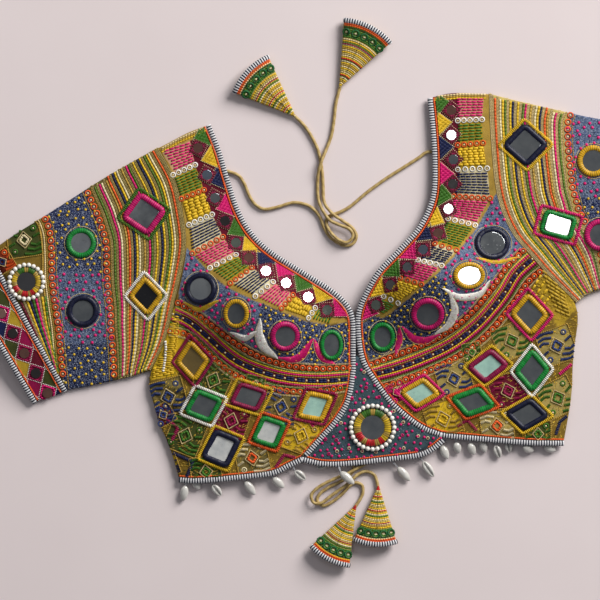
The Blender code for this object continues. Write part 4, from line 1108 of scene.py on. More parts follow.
def small_mirror(work, spot, run, glass):
    """A chip of mirror held by a maroon diamond of thread, with a bead beyond each corner."""
    side = left_of(run)
    for reach in (6.4, 7.8, 9.2):
        corners = [spot + run * reach, spot + side * reach, spot - run * reach, spot - side * reach]
        for first, second in pairs(corners):
            work.line([first, second], "maroon" if reach > 7 else "wine", 2.4, 1.7, 1.4, lift=0.2)
    for first, second in pairs(corners):
        work.knots(at_steps([first * 1.13 - spot * 0.13, second * 1.13 - spot * 0.13], 2.1)[:-1],
                   "cream", 0.62, 1.0)
    chips.append((work, spot, run, glass))


def front(work, side):
    """What the two fronts have in common: neck edge, strap blocks, cup, bands and borders."""
    turn = -1 if side == "left" else 1
    neck, arm = EDGES["neck_" + side][:, :2], EDGES["arm_" + side][:, :2]
    hem = EDGES["hem_" + side][::turn, :2]
    rows = BLOCK_ROWS[side]
    work.line(beside(neck, turn * EDGE_ROW), "orange", 2.2, 1.7, 1.0)
    inner = beside(neck, turn * 5.6)
    for colour, spot in zip(FLAG_COLOURS, FLAGS[side]):
        flag(work, colour, at(*spot), inner, turn)
    for k, (u, v) in enumerate(CHIPS[side]):
        spot = at(u, v)
        nearest = int(np.argmin(norm(neck - spot, axis=1)))
        small_mirror(work, spot, run_of(neck)[nearest],
                     "bright" if k in BRIGHT_CHIPS[side] else CHIP_GLASSES[k % 5])
    for k, (first, second, colour) in enumerate(zip(rows, rows[1:], BLOCKS)):
        a, b, c, d = places(*first, *second)
        a, c = a + (a - b) * 0.1, c + (c - d) * 0.1
        down_a, down_b = headed(c - a), headed(d - b)
        ringed = k < len(rows) - 2
        top, low = 3.4 if k else 0.5, 3.4 if ringed else 0.5
        corners = (a + down_a * top, b + down_b * top, d - down_b * low, c - down_a * low)
        depth = norm(corners[3] - corners[0]) / 2 + norm(corners[2] - corners[1]) / 2
        work.dashes(corners, colour, max(2, round(depth / 2.7)), 5.6,
                    2.5 if colour == "yellow" else 1.6, 0.35)
        if ringed:
            work.eyelets(np.array([c, d]), ("white", "orange")[k % 2], 3.1)
    slate, dark = places(*SLATE_FIELD[side]), places(*NAVY_FIELD[side])
    work.scatter(slate, 7.4, "pink", 1.9, avoid=[dark])
    work.seeds(slate, ("mist", "blue", "slate", "navy"), 3200, avoid=[dark])
    work.scatter(dark, 7.0, "yellow", 1.5)
    work.seeds(dark, ("slate", "navy", "mist", "blue"), 2400)
    high, middle, low = (along_curve(places(*line[side]), 2.0)
                         for line in (HIGH_RINGS, STRIPES, LOW_RINGS))
    for line in (high, low):
        work.eyelets(line, "orange", 3.2, "cream")
        for distance in (4.3, -4.3):
            work.braid(beside(line, distance), "zari", 1.7)
    for distance, colour, width in ((8.6, "green", 1.4), (6.9, "yellow", 1.4), (5.1, "pink", 1.5),
                                    (3.4, "gold", 1.2), (-3.3, "yellow", 1.4), (-5.0, "pink", 1.4),
                                    (-6.7, "maroon", 1.3), (-8.4, "green", 1.4)):
        work.line(beside(middle, -turn * distance), colour, 2.4, width, 0.9)
    path = at_steps(middle, 11.0)
    for first, second in zip(path, path[1:]):
        gap = (second - first) * 0.14
        for step in (-1.1, 1.1):
            lane = left_of(headed(second - first)) * step
            work.line([first + gap + lane, second - gap + lane], "navy", 4.2, 2.0, 1.2)
        work.knots([first], "cream", 1.2)
    for distance, colour in ((1.7, "zari"), (4.1, "orange"), (5.9, "zari"), (7.6, "grass")):
        work.stripe(beside(arm, turn * distance), colour, 2.4, 2.6, 1.5, 1.0)
    work.line(beside(hem, 4.0), "orange", 2.2, 1.5, 1.0)
    for drop, colour in ((1.5, "zari"), (3.4, "gold"), (5.3, "yellow")):
        work.line(places(*SHOULDER[side]) - (0, drop), colour, 3.0, 1.6, 0.9)
    borders(work)


def motif(work, u, v, size, turn, _, colour, centre=None):
    """A patchwork square: bars in two corners, rings in the others and a lozenge in the middle."""
    middle = at(u, v)
    x_axis = heading_of(turn) * size
    y_axis = left_of(x_axis)

    def ends(*shares):
        return [middle + x_axis * x + y_axis * y for x, y in zip(shares[::2], shares[1::2])]

    def bar(x0, y0, x1, y1, thread, pitch, width, height=1.3):
        work.line(ends(x0, y0, x1, y1), thread, pitch, width, height, lift=0.3)

    for sign in (1, -1):
        for k, reach in enumerate((0.82, 0.55, 0.28)):
            bar_line = ends(-0.94 * sign, reach * sign, (-0.45 - 0.11 * k) * sign,
                            (reach + 0.1) * sign, (0.04 - 0.22 * k) * sign, reach * sign)
            work.ribs(bar_line, colour, 3.1, 1.25, 1.2, 1.3, 0.1, "seed")
        work.ribs(ends(0.92 * sign, 0.28 * sign, 0.58 * sign, 0.14 * sign), colour, 2.8, 1.25, 1.2,
                  1.3, 0.1, "seed")
        work.eyelet(middle + (x_axis + y_axis) * 0.62 * sign, colour, 3.1, "cream")
    corners = [(0.44, 0), (0, 0.5), (-0.44, 0), (0, -0.5), (0.44, 0)]
    for (x0, y0), (x1, y1) in zip(corners, corners[1:]):
        bar(x0, y0, x1, y1, "zari", 1.5, 1.2)
        bar(x0 * 0.6, y0 * 0.6, x1 * 0.6, y1 * 0.6, centre or colour, 2.4, 2.2)
    corners = [(1, 1), (-1, 1), (-1, -1), (1, -1), (1, 1)]
    for (x0, y0), (x1, y1) in zip(corners, corners[1:]):
        bar(x0, y0, x1, y1, "gold", 2.0, 1.25, 1.0)


def crescent(work, arc, thickness, colour):
    """A satin crescent with its belly to one side of an arc, edged with gold."""
    outer = along_curve(places(*arc), 1.0)
    inner = beside(outer, thickness)
    belly = np.sin(np.linspace(0, np.pi, len(outer)))[:, None] ** 0.7
    inner = outer + (inner - outer) * belly
    work.satin(outer, inner, colour, 1.25, 1.3, 1.2)
    work.line(outer, "zari", 1.7, 1.1, 1.1)


chips = []
# Glasses of the chips, each a painted reflection; the bright chips also lean towards the high lamp.
CHIP_GLASSES = ("brown", "slate", "dark", "soot", "smoke")
BRIGHT_CHIPS = {"left": (6, 7, 8), "right": (1, 4)}
SHOULDER = {"left": [(156, 150), (180, 136.5), (206, 125)],
            "right": [(434, 95), (460, 92.5), (492, 93)]}
# Satin crescents: the arc, the belly's depth and the colour
CRESCENTS = {
    "left": [([(183, 302), (200, 312), (221, 300)], 5, "yellow"),
             ([(229, 332), (245, 341), (260, 330)], 6, "white"),
             ([(260, 318), (255, 335), (261, 350), (278, 359)], 10, "white"),
             ([(279, 358), (292, 363), (305, 358), (314, 338)], 8.5, "pink"),
             ([(313, 338), (315, 352), (322, 362), (336, 365)], 7.5, "pink")],
    "right": [([(474, 258), (497, 264), (520, 257)], 4, "yellow"),
              ([(441, 288), (458, 300), (480, 297), (490, 280)], 7, "white"),
              ([(434, 335), (451, 327), (458, 310), (449, 290)], 8, "white"),
              ([(401, 326), (411, 341), (426, 344), (441, 334)], 8, "pink"),
              ([(400, 326), (403, 340), (396, 356)], -7, "pink")]}
# Satin bars between the squares: reach and width of a stitch, then each bar's colour and line
BARS = {
    "left": (3.6, 1.5, [("wine", (164, 418), (178, 428), (172, 440)),
                        ("navy", (170, 452), (193, 462), (186, 478)),
                        ("wine", (276, 467), (284, 455), (300, 459))]),
    "right": (3.4, 1.4, [("pink", (560, 374), (570, 366), (578, 356)),
                         ("navy", (556, 434), (560, 422), (572, 412)),
                         ("wine", (458, 426), (467, 420), (476, 430))])}
# Running stitch below the armholes: corners, colour, lines, length, width and stagger
DASHES = {
    "left": [([(153, 312), (180, 316), (174, 374), (152, 378)], "yellow", 32, 7.0, 1.5, 0.6)],
    "right": [([(541, 268), (563, 284), (571, 318), (556, 312)], "mustard", 9, 6.5, 2.4, 0.5),
              ([(528, 292), (540, 270), (552, 300), (546, 306)], "yellow", 4, 6.0, 2.2, 0.5)]}
# Darning that fills the cloth between the squares
DARNING = {
    "left": ([(140, 345), (360, 395), (360, 485), (140, 490)],
             ("ochre", "mustard", "moss", "mustard", "gold")),
    # The right front's darning includes the lighter copy of khaki: painted light.
    "right": ([(372, 388), (470, 352), (545, 275), (590, 300), (590, 450), (372, 450)],
              ("mustard", "gold", "straw", "mustard", "yellow"))}
# Edges of the blouse, in millimetres: x, y and the height of the binding that runs along them
EDGE_ROWS = {
    "neck_left": [(-127, 171, 5.0), (-117, 146, 6.2), (-108, 116, 7.0), (-98, 86, 8.0),
                  (-84, 62, 10.0), (-64, 43, 12.5), (-34, 24, 14.5), (-4, 5, 13.0), (11, -9, 11.0),
                  (17, -22, 9.8), (18, -40, 9.2), (18, -60, 9.0), (18, -76, 9.2), (13, -104, 9.8),
                  (1, -125, 10.0), (-13, -141, 9.6), (-33, -163.5, 8.8)],
    "neck_right": [(95, 198, 5.0), (98, 168, 6.2), (100, 132, 7.0), (98, 98, 8.0), (85, 69, 10.0),
                   (65, 46, 12.5), (44, 24, 14.5), (30, 0, 12.0), (23.6, -18, 10.0),
                   (23.4, -38, 9.2), (26.6, -60, 9.0), (34, -76, 9.2), (54, -104, 9.8),
                   (72, -121, 10.0), (88, -132, 9.6), (106, -139, 8.8)],
    "arm_left": [(-177, 148, 5.0), (-160, 116, 8.0), (-152, 81, 11.5), (-149, 54, 13.5),
                 (-153, 26, 14.5), (-160, -4, 13.5), (-170, -44, 9.0), (-184, -74, 5.0)],
    "arm_right": [(154, 202, 5.0), (155, 171, 7.5), (157, 141, 10.5), (160, 111, 13.0),
                  (166, 86, 14.0), (178, 61, 14.5), (195, 41, 14.0), (213, 21, 10.5),
                  (241, -6, 5.0)],
    "hem_centre": [(-33, -163.5, 8.8), (-12, -168, 8.8), (15, -167.5, 8.8), (60, -162.5, 8.8),
                   (85, -159, 8.8), (99, -152, 8.8), (109, -143.5, 8.8)],
    "hem_left": [(-33, -163.5, 8.8), (-47, -170, 8.8), (-62, -177, 8.8), (-92, -181, 8.8),
                 (-136, -184.8, 8.7), (-156, -184, 5.6)],
    "hem_right": [(106, -139, 8.8), (124, -141, 8.8), (188, -146.5, 8.8), (215, -147.2, 8.6),
                  (229, -147.5, 5.6)],
    "back_hem_left": [(8, -158, 2.0), (-32, -158, 2.0), (-92, -175, 2.0), (-136, -179, 2.0),
                      (-153, -179, 2.0)],
    "back_hem_right": [(43, -158, 2.0), (84, -151, 2.0), (106, -138, 2.0), (160, -138, 2.0),
                       (226, -143, 2.0)]}
EDGES = {name: along_curve(rows, 2.0) for name, rows in EDGE_ROWS.items()}
works = {}
for side, seed in (("left", 11), ("right", 12)):
    work = works["front_" + side] = Needlework(fronts[side], seed, "front_" + side,
                                               under_chips(CHIPS[side]))
    front(work, side)
    for arc, depth, colour in CRESCENTS[side]:
        crescent(work, arc, depth, colour)
    for cell in CELLS[side]:
        motif(work, *cell)
    reach, width, bars = BARS[side]
    for colour, *path in bars:
        work.ribs(places(*path), colour, reach, 1.8, width, 1.3)
    if side == "left":
        work.line(places((164, 330), (166, 350), (163, 372)), "white", 2.6, 2.6, 2.2, 0.8)
    for corners, *stitching in DASHES[side]:
        work.dashes(places(*corners), *stitching)
    corners, colours = DARNING[side]
    work.seeds(places(*corners), colours, 3600, 3.0, flow=True)
    work.finish(f"front_{side}_embroidery", "embroidered_front")

work = works["front_gusset"] = Needlework(gusset, 13, "front_gusset")
corners = places((290, 350), (450, 350), (450, 470), (290, 470))
work.scatter(corners, 8.2, "pink", 1.7)
work.seeds(corners, ("slate", "teal", "mist", "teal"), 1900)
chance = np.random.default_rng(5)
for x in np.arange(300, 450, 13.0):
    for y in np.arange(360, 466, 13.0):
        spot = at(x + chance.uniform(-3, 3), y + chance.uniform(-3, 3))
        work.eyelet(spot, "cream" if chance.random() < 0.5 else "pink", 1.9, "pink")
work.line(beside(EDGES["hem_centre"][:, :2], EDGE_ROW), "orange", 2.2, 1.6, 1.0)
work.finish("gusset_embroidery", "gusset_cloth")

# ---------------------------------------------------------------- sewn-on mirrors
# Cut mirror glass in a padded frame of wrapped silk, sewn down through the cloth. The three
# large ones have a ring of pearl beads; the chips on the neck edge are held by thread alone.
FRAME_HEIGHT = 3.6
FRAME_REACH = {"round": 0.99, "square": 1.1, "pearl": 0.80}
GLASS_SHARE = {"round": 0.66, "square": 0.72, "pearl": 0.5}
WRAP_STEP = 1.05
# Each glass's colour is the tone that mirror shows, put into its colour: a painted reflection, from
# dark through pale and mint to bright, that the lamps only add to.
PAINTED_REFLECTIONS = {"dark": (0.12, 0.13, 0.14), "pale": (0.80, 0.81, 0.79), "mint": (0.50, 0.80, 0.68),
         "bright": (0.96, 0.96, 0.95), "amber": (0.22, 0.15, 0.05), "black": (0.015, 0.015, 0.018),
         "brown": (0.15, 0.07, 0.055), "slate": (0.10, 0.12, 0.16), "smoke": (0.12, 0.14, 0.12),
         "soot": (0.035, 0.03, 0.03)}
HIGH_LAMP_SLOPE = (-0.17, -0.03)
SILK = {"green": "leaf", "maroon": "wine", "yellow": "amber", "navy": "ink"}
RING_SILKS = ("yellow", "green", "green", "yellow", "red", "red", "red", "yellow")

silk_finish, dye, shader = finish_with("wrapped_silk", Roughness=0.42, Specular_IOR_Level=0.3)
place = dye.place()
sheen = dye.noise(place, 260.0, 3.0).kept(0.3, 0.7)
lit = sheen.tint((0.80, 0.80, 0.80, 1), (1.18, 1.18, 1.18, 1))
feed(shader, Base_Color=dye.attribute("thread").shaded(lit),
     Normal=dye.bump(dye.noise(place, 1800.0, 2.0), 0.3, 0.0002))

glass_finish, dye, shader = finish_with("mirror_glass", Metallic=0.55, Coat_Weight=0.5,
                                        Coat_Roughness=0.03)
place = dye.place()
# Haze roughens the glass, and the same noise makes its painted reflection lighter and darker from
# patch to patch.
haze_and_reflection = dye.noise(place, 70.0, 4.0, 0.6).kept(0.35, 0.75)
spots_of_age = dye.noise(place, 480.0, 2.0).kept(0.66, 0.72)
lit = haze_and_reflection.tint((0.82, 0.83, 0.86, 1), (1.25, 1.22, 1.18, 1))
colour = dye.attribute("thread").shaded(lit)
colour = (spots_of_age * 0.5).tint(colour, (0.03, 0.025, 0.02, 1))
feed(shader, Base_Color=colour, Roughness=(haze_and_reflection * 0.09 + spots_of_age * 0.3 + 0.04),
     Normal=dye.bump(dye.noise(place, 45.0, 2.0), 0.25, 0.0008))

pearl_finish, dye, shader = finish_with("pearl_bead", Roughness=0.25, Coat_Weight=0.6,
                                        Coat_Roughness=0.1)
lustre = dye.noise(dye.place(), 220.0, 2.0).kept(0.3, 0.7)
feed(shader, Base_Color=lustre.tint((0.66, 0.62, 0.55, 1), (0.86, 0.84, 0.80, 1)))


PEARL, PEARL_PITCH = 2.4, 5.2
PEARLS_AT, PEARL_RISE = 0.925, 1.6      # share of the radius, and height over the cloth
bead("motif_6_pearl", 12, 8)
KINDS["pearl"] = 6


def seat(work, path):
    """Heights of the cloth along a plan path, in millimetres; its mean where the cloth ends."""
    hits = [work.surface(x, y)[0] for x, y in path]
    found = np.array([np.nan if hit is None else hit.z / MM for hit in hits])
    return np.where(np.isnan(found), np.nanmean(found), found)


def outline_of(row, scale):
    """A mirror's outline at some share of its size."""
    if row.kind == "square":
        return diamond(row.x, row.y, row.ax * scale, row.ay * scale, row.bx * scale,
                       row.by * scale, 0.15)
    return oval(row.x, row.y, row.ax * scale, row.by * scale)


def silk_at(row, share):
    """Colour of a frame part of the way round: a pearl mirror's has bright runs and gold."""
    if row.kind != "pearl":
        return THREAD[SILK.get(row.silk, row.silk)]
    if int(share * 22) % 3 == 2:
        return THREAD["gold"]
    return THREAD[RING_SILKS[int(share * 8) % 8]]


def wrapped_frame(work, row):
    """A mirror's frame: a padded ring of side-by-side wraps, with painted shade darkening the gaps
    between them.
    """
    inner, outer = GLASS_SHARE[row.kind], FRAME_REACH[row.kind]
    size = (norm((row.ax + row.bx, row.ay + row.by)) / 2 if row.kind == "square"
            else min(row.ax, row.by))
    half = size * (outer - inner) / 2 + 0.35
    rise = FRAME_HEIGHT * (0.8 if row.kind == "pearl" else 1.0)
    outline = outline_of(row, (outer + inner) / 2)
    path = at_steps(outline, WRAP_STEP)[:-1]
    count = len(path) - len(path) % 2
    path = at_steps(outline, count=count)[:-1]
    ahead = np.roll(path, -1, axis=0) - np.roll(path, 1, axis=0)
    floor = seat(work, path)
    floor = (floor + np.roll(floor, 1) + np.roll(floor, -1)) / 3
    section = [(-0.7, -0.1), (-1.0, 0.15), (-0.92, 0.6), (-0.55, 0.92), (0.0, 1.0), (0.55, 0.92),
               (0.92, 0.6), (1.0, 0.15), (0.7, -0.1)]
    verts, colours = [], []
    for k in range(count):
        swell = 1.0 + 0.05 * math.sin(k * 7.3) if k % 2 else 0.8
        side = left_of(headed(ahead[k]))
        # Every other wrap is a gap, its colour cut to 0.3: painted shade between the wraps; the
        # others vary in tone.
        tone = 1.0 + 0.14 * math.sin(k * 3.7) if k % 2 else 0.3
        colour = np.array(silk_at(row, k / count)) * tone
        for a, b in section:
            verts.append((*(path[k] + side * a * half * (0.5 + 0.5 * swell)),
                          floor[k] + b * rise * swell))
            colours.append((*colour, 1))
    return verts, walls(len(section), count, joined=True), colours


def glass_plate(work, outline, lift, glass):
    """A flat glass near the cloth's own slope; light ones lean a little towards the lamps."""
    pale, bright = glass in ("pale", "mint"), glass == "bright"
    ring = at_steps(outline, count=32)[:-1]
    floor = seat(work, ring)
    middle = ring.mean(axis=0)
    rest = np.column_stack([ring - middle, np.ones(len(ring))])
    slope_x, slope_y, level = np.linalg.lstsq(rest, floor, rcond=None)[0]
    slope = np.array([slope_x, slope_y]) * (0.6 if bright else 0.78)
    if pale or bright and np.hypot(*slope) > 0.25:
        slope = slope - (0.09 if bright else 0.055)
    elif bright:
        slope, level = HIGH_LAMP_SLOPE, level + 0.35
    verts = []
    for share, drop in ((1.0, -0.9), (1.0, -0.15), (0.95, 0.0)):
        for spot in ring:
            away = (spot - middle) * share
            verts.append((*(middle + away), level + lift + drop + away @ slope))
    return verts, tube(len(ring), 3), [(*PAINTED_REFLECTIONS[glass], 1)] * len(verts)


def gathered(bodies):
    """Several bodies as one list of points, faces and colours."""
    verts, faces, colours = [], [], []
    for body_verts, body_faces, body_colours in bodies:
        start = len(verts)
        verts += list(body_verts)
        faces += [tuple(start + i for i in face) for face in body_faces]
        colours += list(body_colours)
    return verts, faces, colours


def mirrors_on(cloth, work):
    """Frames and glasses of every mirror on one piece of cloth; gives back its pearls."""
    glasses, pearls = [], []
    for row in work.mirrors:
        verts, faces, colours = wrapped_frame(work, row)
        piece = made(row.name.replace("mirror", "frame"), verts, faces, silk_finish, colours)
        placed(piece, "pearl_ring" if row.kind == "pearl" else "frame_" + row.silk, row.name)
        glasses.append(glass_plate(work, outline_of(row, GLASS_SHARE[row.kind] + 0.04),
                                   FRAME_HEIGHT * 0.45, row.glass))
        if row.kind == "pearl":
            count = round(2 * math.pi * row.ax / PEARL_PITCH)
            ring = at_steps(outline_of(row, PEARLS_AT), count=count)[:-1]
            pearls += [((x * MM, y * MM, (z + PEARL_RISE) * MM), (0, 0, 0), (PEARL * MM,) * 3,
                        KINDS["pearl"], (1, 1, 1)) for (x, y), z in zip(ring, seat(work, ring))]
    verts, faces, colours = gathered(glasses)
    piece = made(cloth + "_glasses", verts, faces, glass_finish, colours, smooth=False)
    placed(piece, "mirror_glass")
    return pearls


# ---------------------------------------------------------------- striped bindings and cowries
# Every edge is bound with a cord wrapped in black and white thread, turn by turn. The hem's
# binding also carries small white cowrie shells, each on a loop of thread.
WRAP_PITCH = 1.3
BINDING_HALF = 2.5
EDGE_COLOURS = ((0.62, 0.62, 0.64), (0.012, 0.014, 0.03))
# A shell's root in the binding, its near end, its far end, and the height of the root
SHELLS = [
    (-149, -185, -149.5, -190, 5.2, -152.5, -205, 3.4, 7.5),
    (-124, -184, -122.5, -189, 5.6, -114, -200, 3.4, 7.5),
    (-92, -181, -90, -185.5, 5.6, -80, -199, 3.4, 7.5),
    (-66, -177.5, -62, -182, 5.6, -51, -192, 3.4, 7.5),
    (-43, -169, -40, -175, 5.6, -29.5, -184, 3.4, 7.5),
    (3, -168, 5.5, -176, 10.4, 19, -188, 10.4, 8), (55, -163, 63, -171.5, 4.6, 75, -185, 3.4, 8),
    (84, -159, 88, -165.5, 4.6, 99, -181, 3.4, 8),
    (121, -141, 121, -146.5, 5.6, 124, -157.5, 3.4, 7.5),
    (135, -142, 134.5, -147.5, 5.6, 139.5, -159, 3.4, 7.5),
    (160, -144.5, 160.5, -149.5, 5.6, 165, -162, 3.4, 7.5),
    (187, -146.3, 188, -151, 5.4, 199, -155, 3.6, 7.5),
    (-141, -179, -141, -184, 3.2, -136, -193.5, 3.2, 1.6),
    (-8, -158, -3, -165, 3.2, -18, -172.5, 3.2, 1.6),
    (106, -138, 106.5, -149.5, 3.2, 113, -163, 3.2, 1.6),
    (147, -137.5, 147, -145, 3.2, 150.5, -156.5, 3.2, 1.6),
    (173, -139, 173, -145.5, 3.2, 174.5, -156.5, 3.2, 1.6),
    (210, -142, 209, -150.5, 3.2, 221, -154.5, 3.2, 1.6)]

ARCH = [(-1.0, -2.3), (-1.06, -0.2), (-0.98, 0.45), (-0.6, 1.05), (0.0, 1.3), (0.6, 1.05),
        (0.98, 0.45), (1.06, -0.2), (1.0, -2.3)]


def arch(name, profile):
    """One turn of thread over a binding: a rounded rib across it, of unit length."""
    verts = []
    for x, share in ((-0.5, 0.9), (-0.22, 1.0), (0.22, 1.0), (0.5, 0.9)):
        verts += [(x, y * BINDING_HALF * (0.5 + share / 2) * MM, (z if z < 0 else z * share) * MM)
                  for y, z in profile]
    faces = tube(len(profile), 4)
    faces[-2] = faces[-2][::-1]
    unit(name, verts, faces)


arch("motif_4_wrap", ARCH)
arch("motif_5_low_wrap", [(y, max(z, -1.9)) for y, z in ARCH])
KINDS.update(wrap=4, low_wrap=5)

binding_finish, dye, shader = finish_with("binding_thread", Roughness=0.6, Specular_IOR_Level=0.25)
fibre = dye.noise(dye.place(), 1400.0, 2.0).kept(0.3, 0.7)
lit = fibre.tint((0.78, 0.78, 0.78, 1), (1.15, 1.15, 1.15, 1))
feed(shader, Base_Color=dye.attribute("thread").shaded(lit), Normal=dye.bump(fibre, 0.3, 0.0002))


def turns_along(path, kind="wrap", lift=0.0):
    """Black and white turns of thread, side by side along a path."""
    path = at_steps(path, WRAP_PITCH)
    middles = (path[:-1] + path[1:]) / 2
    rows = []
    for k, (spot, run) in enumerate(zip(middles, np.diff(path, axis=0))):
        run = Vector(run).normalized()
        side = Vector((-run.y, run.x, 0)).normalized()
        turn = Matrix((run, side, run.cross(side))).transposed().to_euler()
        rows.append((tuple(np.array((spot[0], spot[1], spot[2] + lift)) * MM), tuple(turn),
                     (WRAP_PITCH * 1.12 * MM, 1, 1), KINDS[kind], EDGE_COLOURS[k % 2]))
    return rows


def cut_back(path, distance):
    """The path without its last stretch of the given length."""
    gone = np.cumsum(steps_of(path)[::-1])[::-1]
    return path[:-1][gone > distance]


for name, path, node, kind in (
        ("neck_edging_left", cut_back(EDGES["neck_left"], 4.2), "neck_binding_left", "wrap"),
        ("neck_edging_right", EDGES["neck_right"], "neck_binding_right", "wrap"),
        ("hem_edging_left", EDGES["hem_left"], "hem_binding_front_left", "wrap"),
        ("hem_edging_right", EDGES["hem_right"], "hem_binding_front_right", "wrap"),
        ("hem_edging_centre", EDGES["hem_centre"], "hem_binding_centre", "wrap"),
        ("hem_edging_back_left", EDGES["back_hem_left"], "hem_binding_back_left", "low_wrap"),
        ("hem_edging_back_right", EDGES["back_hem_right"], "hem_binding_back_right", "low_wrap")):
    sew(name, turns_along(path, kind), binding_finish, "striped_binding", seed=3, node=node)

shell_finish, dye, shader = finish_with("cowrie_shell", Roughness=0.28, Coat_Weight=0.5,
                                        Coat_Roughness=0.15)
bands = dye.noise(dye.place(), 160.0, 3.0).kept(0.3, 0.7)
lit = bands.tint((0.86, 0.84, 0.82, 1), (1.08, 1.07, 1.06, 1))
feed(shader, Base_Color=dye.attribute("thread").shaded(lit))
SHELL_PROFILE = [(0.0, 0.9), (0.05, 2.0), (0.14, 3.1), (0.3, 4.0), (0.46, 4.25), (0.62, 3.95),
                 (0.78, 3.15), (0.9, 2.1), (0.97, 1.2), (1.0, 0.5)]
SHELL_SIDES = 20


def cowrie(row, slot_up):
    """A small cowrie: a smooth egg with a toothed slit along one face, the slit painted dark as
    shade.
    """
    near, far = np.array(row[2:5], float), np.array(row[5:8], float)
    run = far - near
    side = headed(np.array([*left_of(headed(run)), 0.0]))
    verts, colours = [], []
    for r, (share, half) in enumerate(SHELL_PROFILE):
        for turn in round_steps(SHELL_SIDES):
            across, up = math.cos(turn) * half, math.sin(turn) * half * 0.7
            colour = np.array((0.55, 0.54, 0.52))
            near_slit = slot_up and math.sin(turn) > 0.9 and 0.05 < share < 0.95
            if near_slit:
                deep = 1.0 if math.sin(turn) > 0.99 else 0.35
                up -= 1.5 * deep
                # Painted shade: the slit's floor near black, its edges darker between the teeth.
                colour = colour * (0.16 if deep == 1.0 else 0.62 + 0.25 * (r % 2))
            elif not slot_up and math.sin(turn) > 0.8 and 0.2 < share < 0.5:
                colour = colour * 0.88
            verts.append(near + run * share + side * across + np.array([0, 0, up]))
            colours.append((*colour, 1))
    return verts, tube(SHELL_SIDES, len(SHELL_PROFILE)), colours


def shell_thread(row):
    """The loop that holds a shell: two strands from the binding to its end."""
    root, near = np.array((row[0], row[1], row[8]), float), np.array(row[2:5], float)
    bodies = []
    run = near - root
    side = np.array([*left_of(run), 0.0]) / norm(run[:2]) * 0.45
    turn = round_steps(5)
    ring = np.column_stack([np.cos(turn), np.sin(turn)]) * 0.42
    for sign in (1, -1):
        path = [root + side * sign * 0.3, root + run * 0.5 + side * sign, near + run * 0.12]
        verts, faces = swept(path, lambda k: ring)
        bodies.append((verts, faces, [(0.42, 0.42, 0.45, 1)] * len(verts)))
    return gathered(bodies)


for name, bodies, finish, slot in (
        ("cowrie_shells", [cowrie(row, k % 3 == 1) for k, row in enumerate(SHELLS)], shell_finish,
         "cowrie_shell"),
        ("shell_threads", [shell_thread(row) for row in SHELLS], binding_finish,
         "striped_binding")):
    verts, faces, colours = gathered(bodies)
    placed(made(name, verts, faces, finish, colours), slot)

# ---------------------------------------------------------------- sleeves
# Short sleeves cut wide and laid flat, so each is a folded tube with its cuff end open. Stripes of
# thread and gold braid follow the armhole, then seeded fields lie between two columns of rings.
SLEEVE_STRIPES = ("zari orange zari cream yellow grass zari yellow navy zari yellow zari grass "
                  "pink zari gold zari cream yellow navy zari orange gold zari cream pink zari "
                  "grass zari").split()
COLUMNS = {
    "left": [[(86, 186), (87.8, 193.3), (97, 214), (101, 225.6), (106, 243), (106.7, 265.6),
              (107.8, 287.8), (110.4, 310), (111, 327.8), (112.9, 352), (114, 382)],
             [(40, 214), (45, 219), (50, 234.4), (51.6, 256.7), (52.2, 279), (54.9, 303),
              (58.2, 325.6), (60, 345.6), (62.9, 376.7), (65, 396)]],
    "right": [[(572, 108), (571, 114), (568, 123), (568, 140), (569, 158), (571, 174), (573, 190),
               (576, 200), (579, 211), (586, 224), (600, 252), (608, 290)],
              [(630, 118), (624, 150), (625, 180), (630, 210), (640, 240), (654, 284)]]}
FIELDS = {"left": [("navy", 186, 272), ("slate", 272, 344), ("navy", 344, 400)],
          "right": [("slate", 100, 198), ("navy", 198, 262), ("slate", 262, 300)]}


def field_patch(columns, high, low):
    """The part of the strip between two columns from one level of the pattern to another."""
    outline = np.vstack([columns[0], columns[1][::-1]])
    high, low = at(0, high)[1], at(0, low)[1]
    keep = []
    for start, end in zip(outline, np.roll(outline, -1, axis=0)):
        for spot in np.linspace(start, end, 12, endpoint=False):
            keep.append((spot[0], min(high, max(low, spot[1]))))
    return np.array(keep)


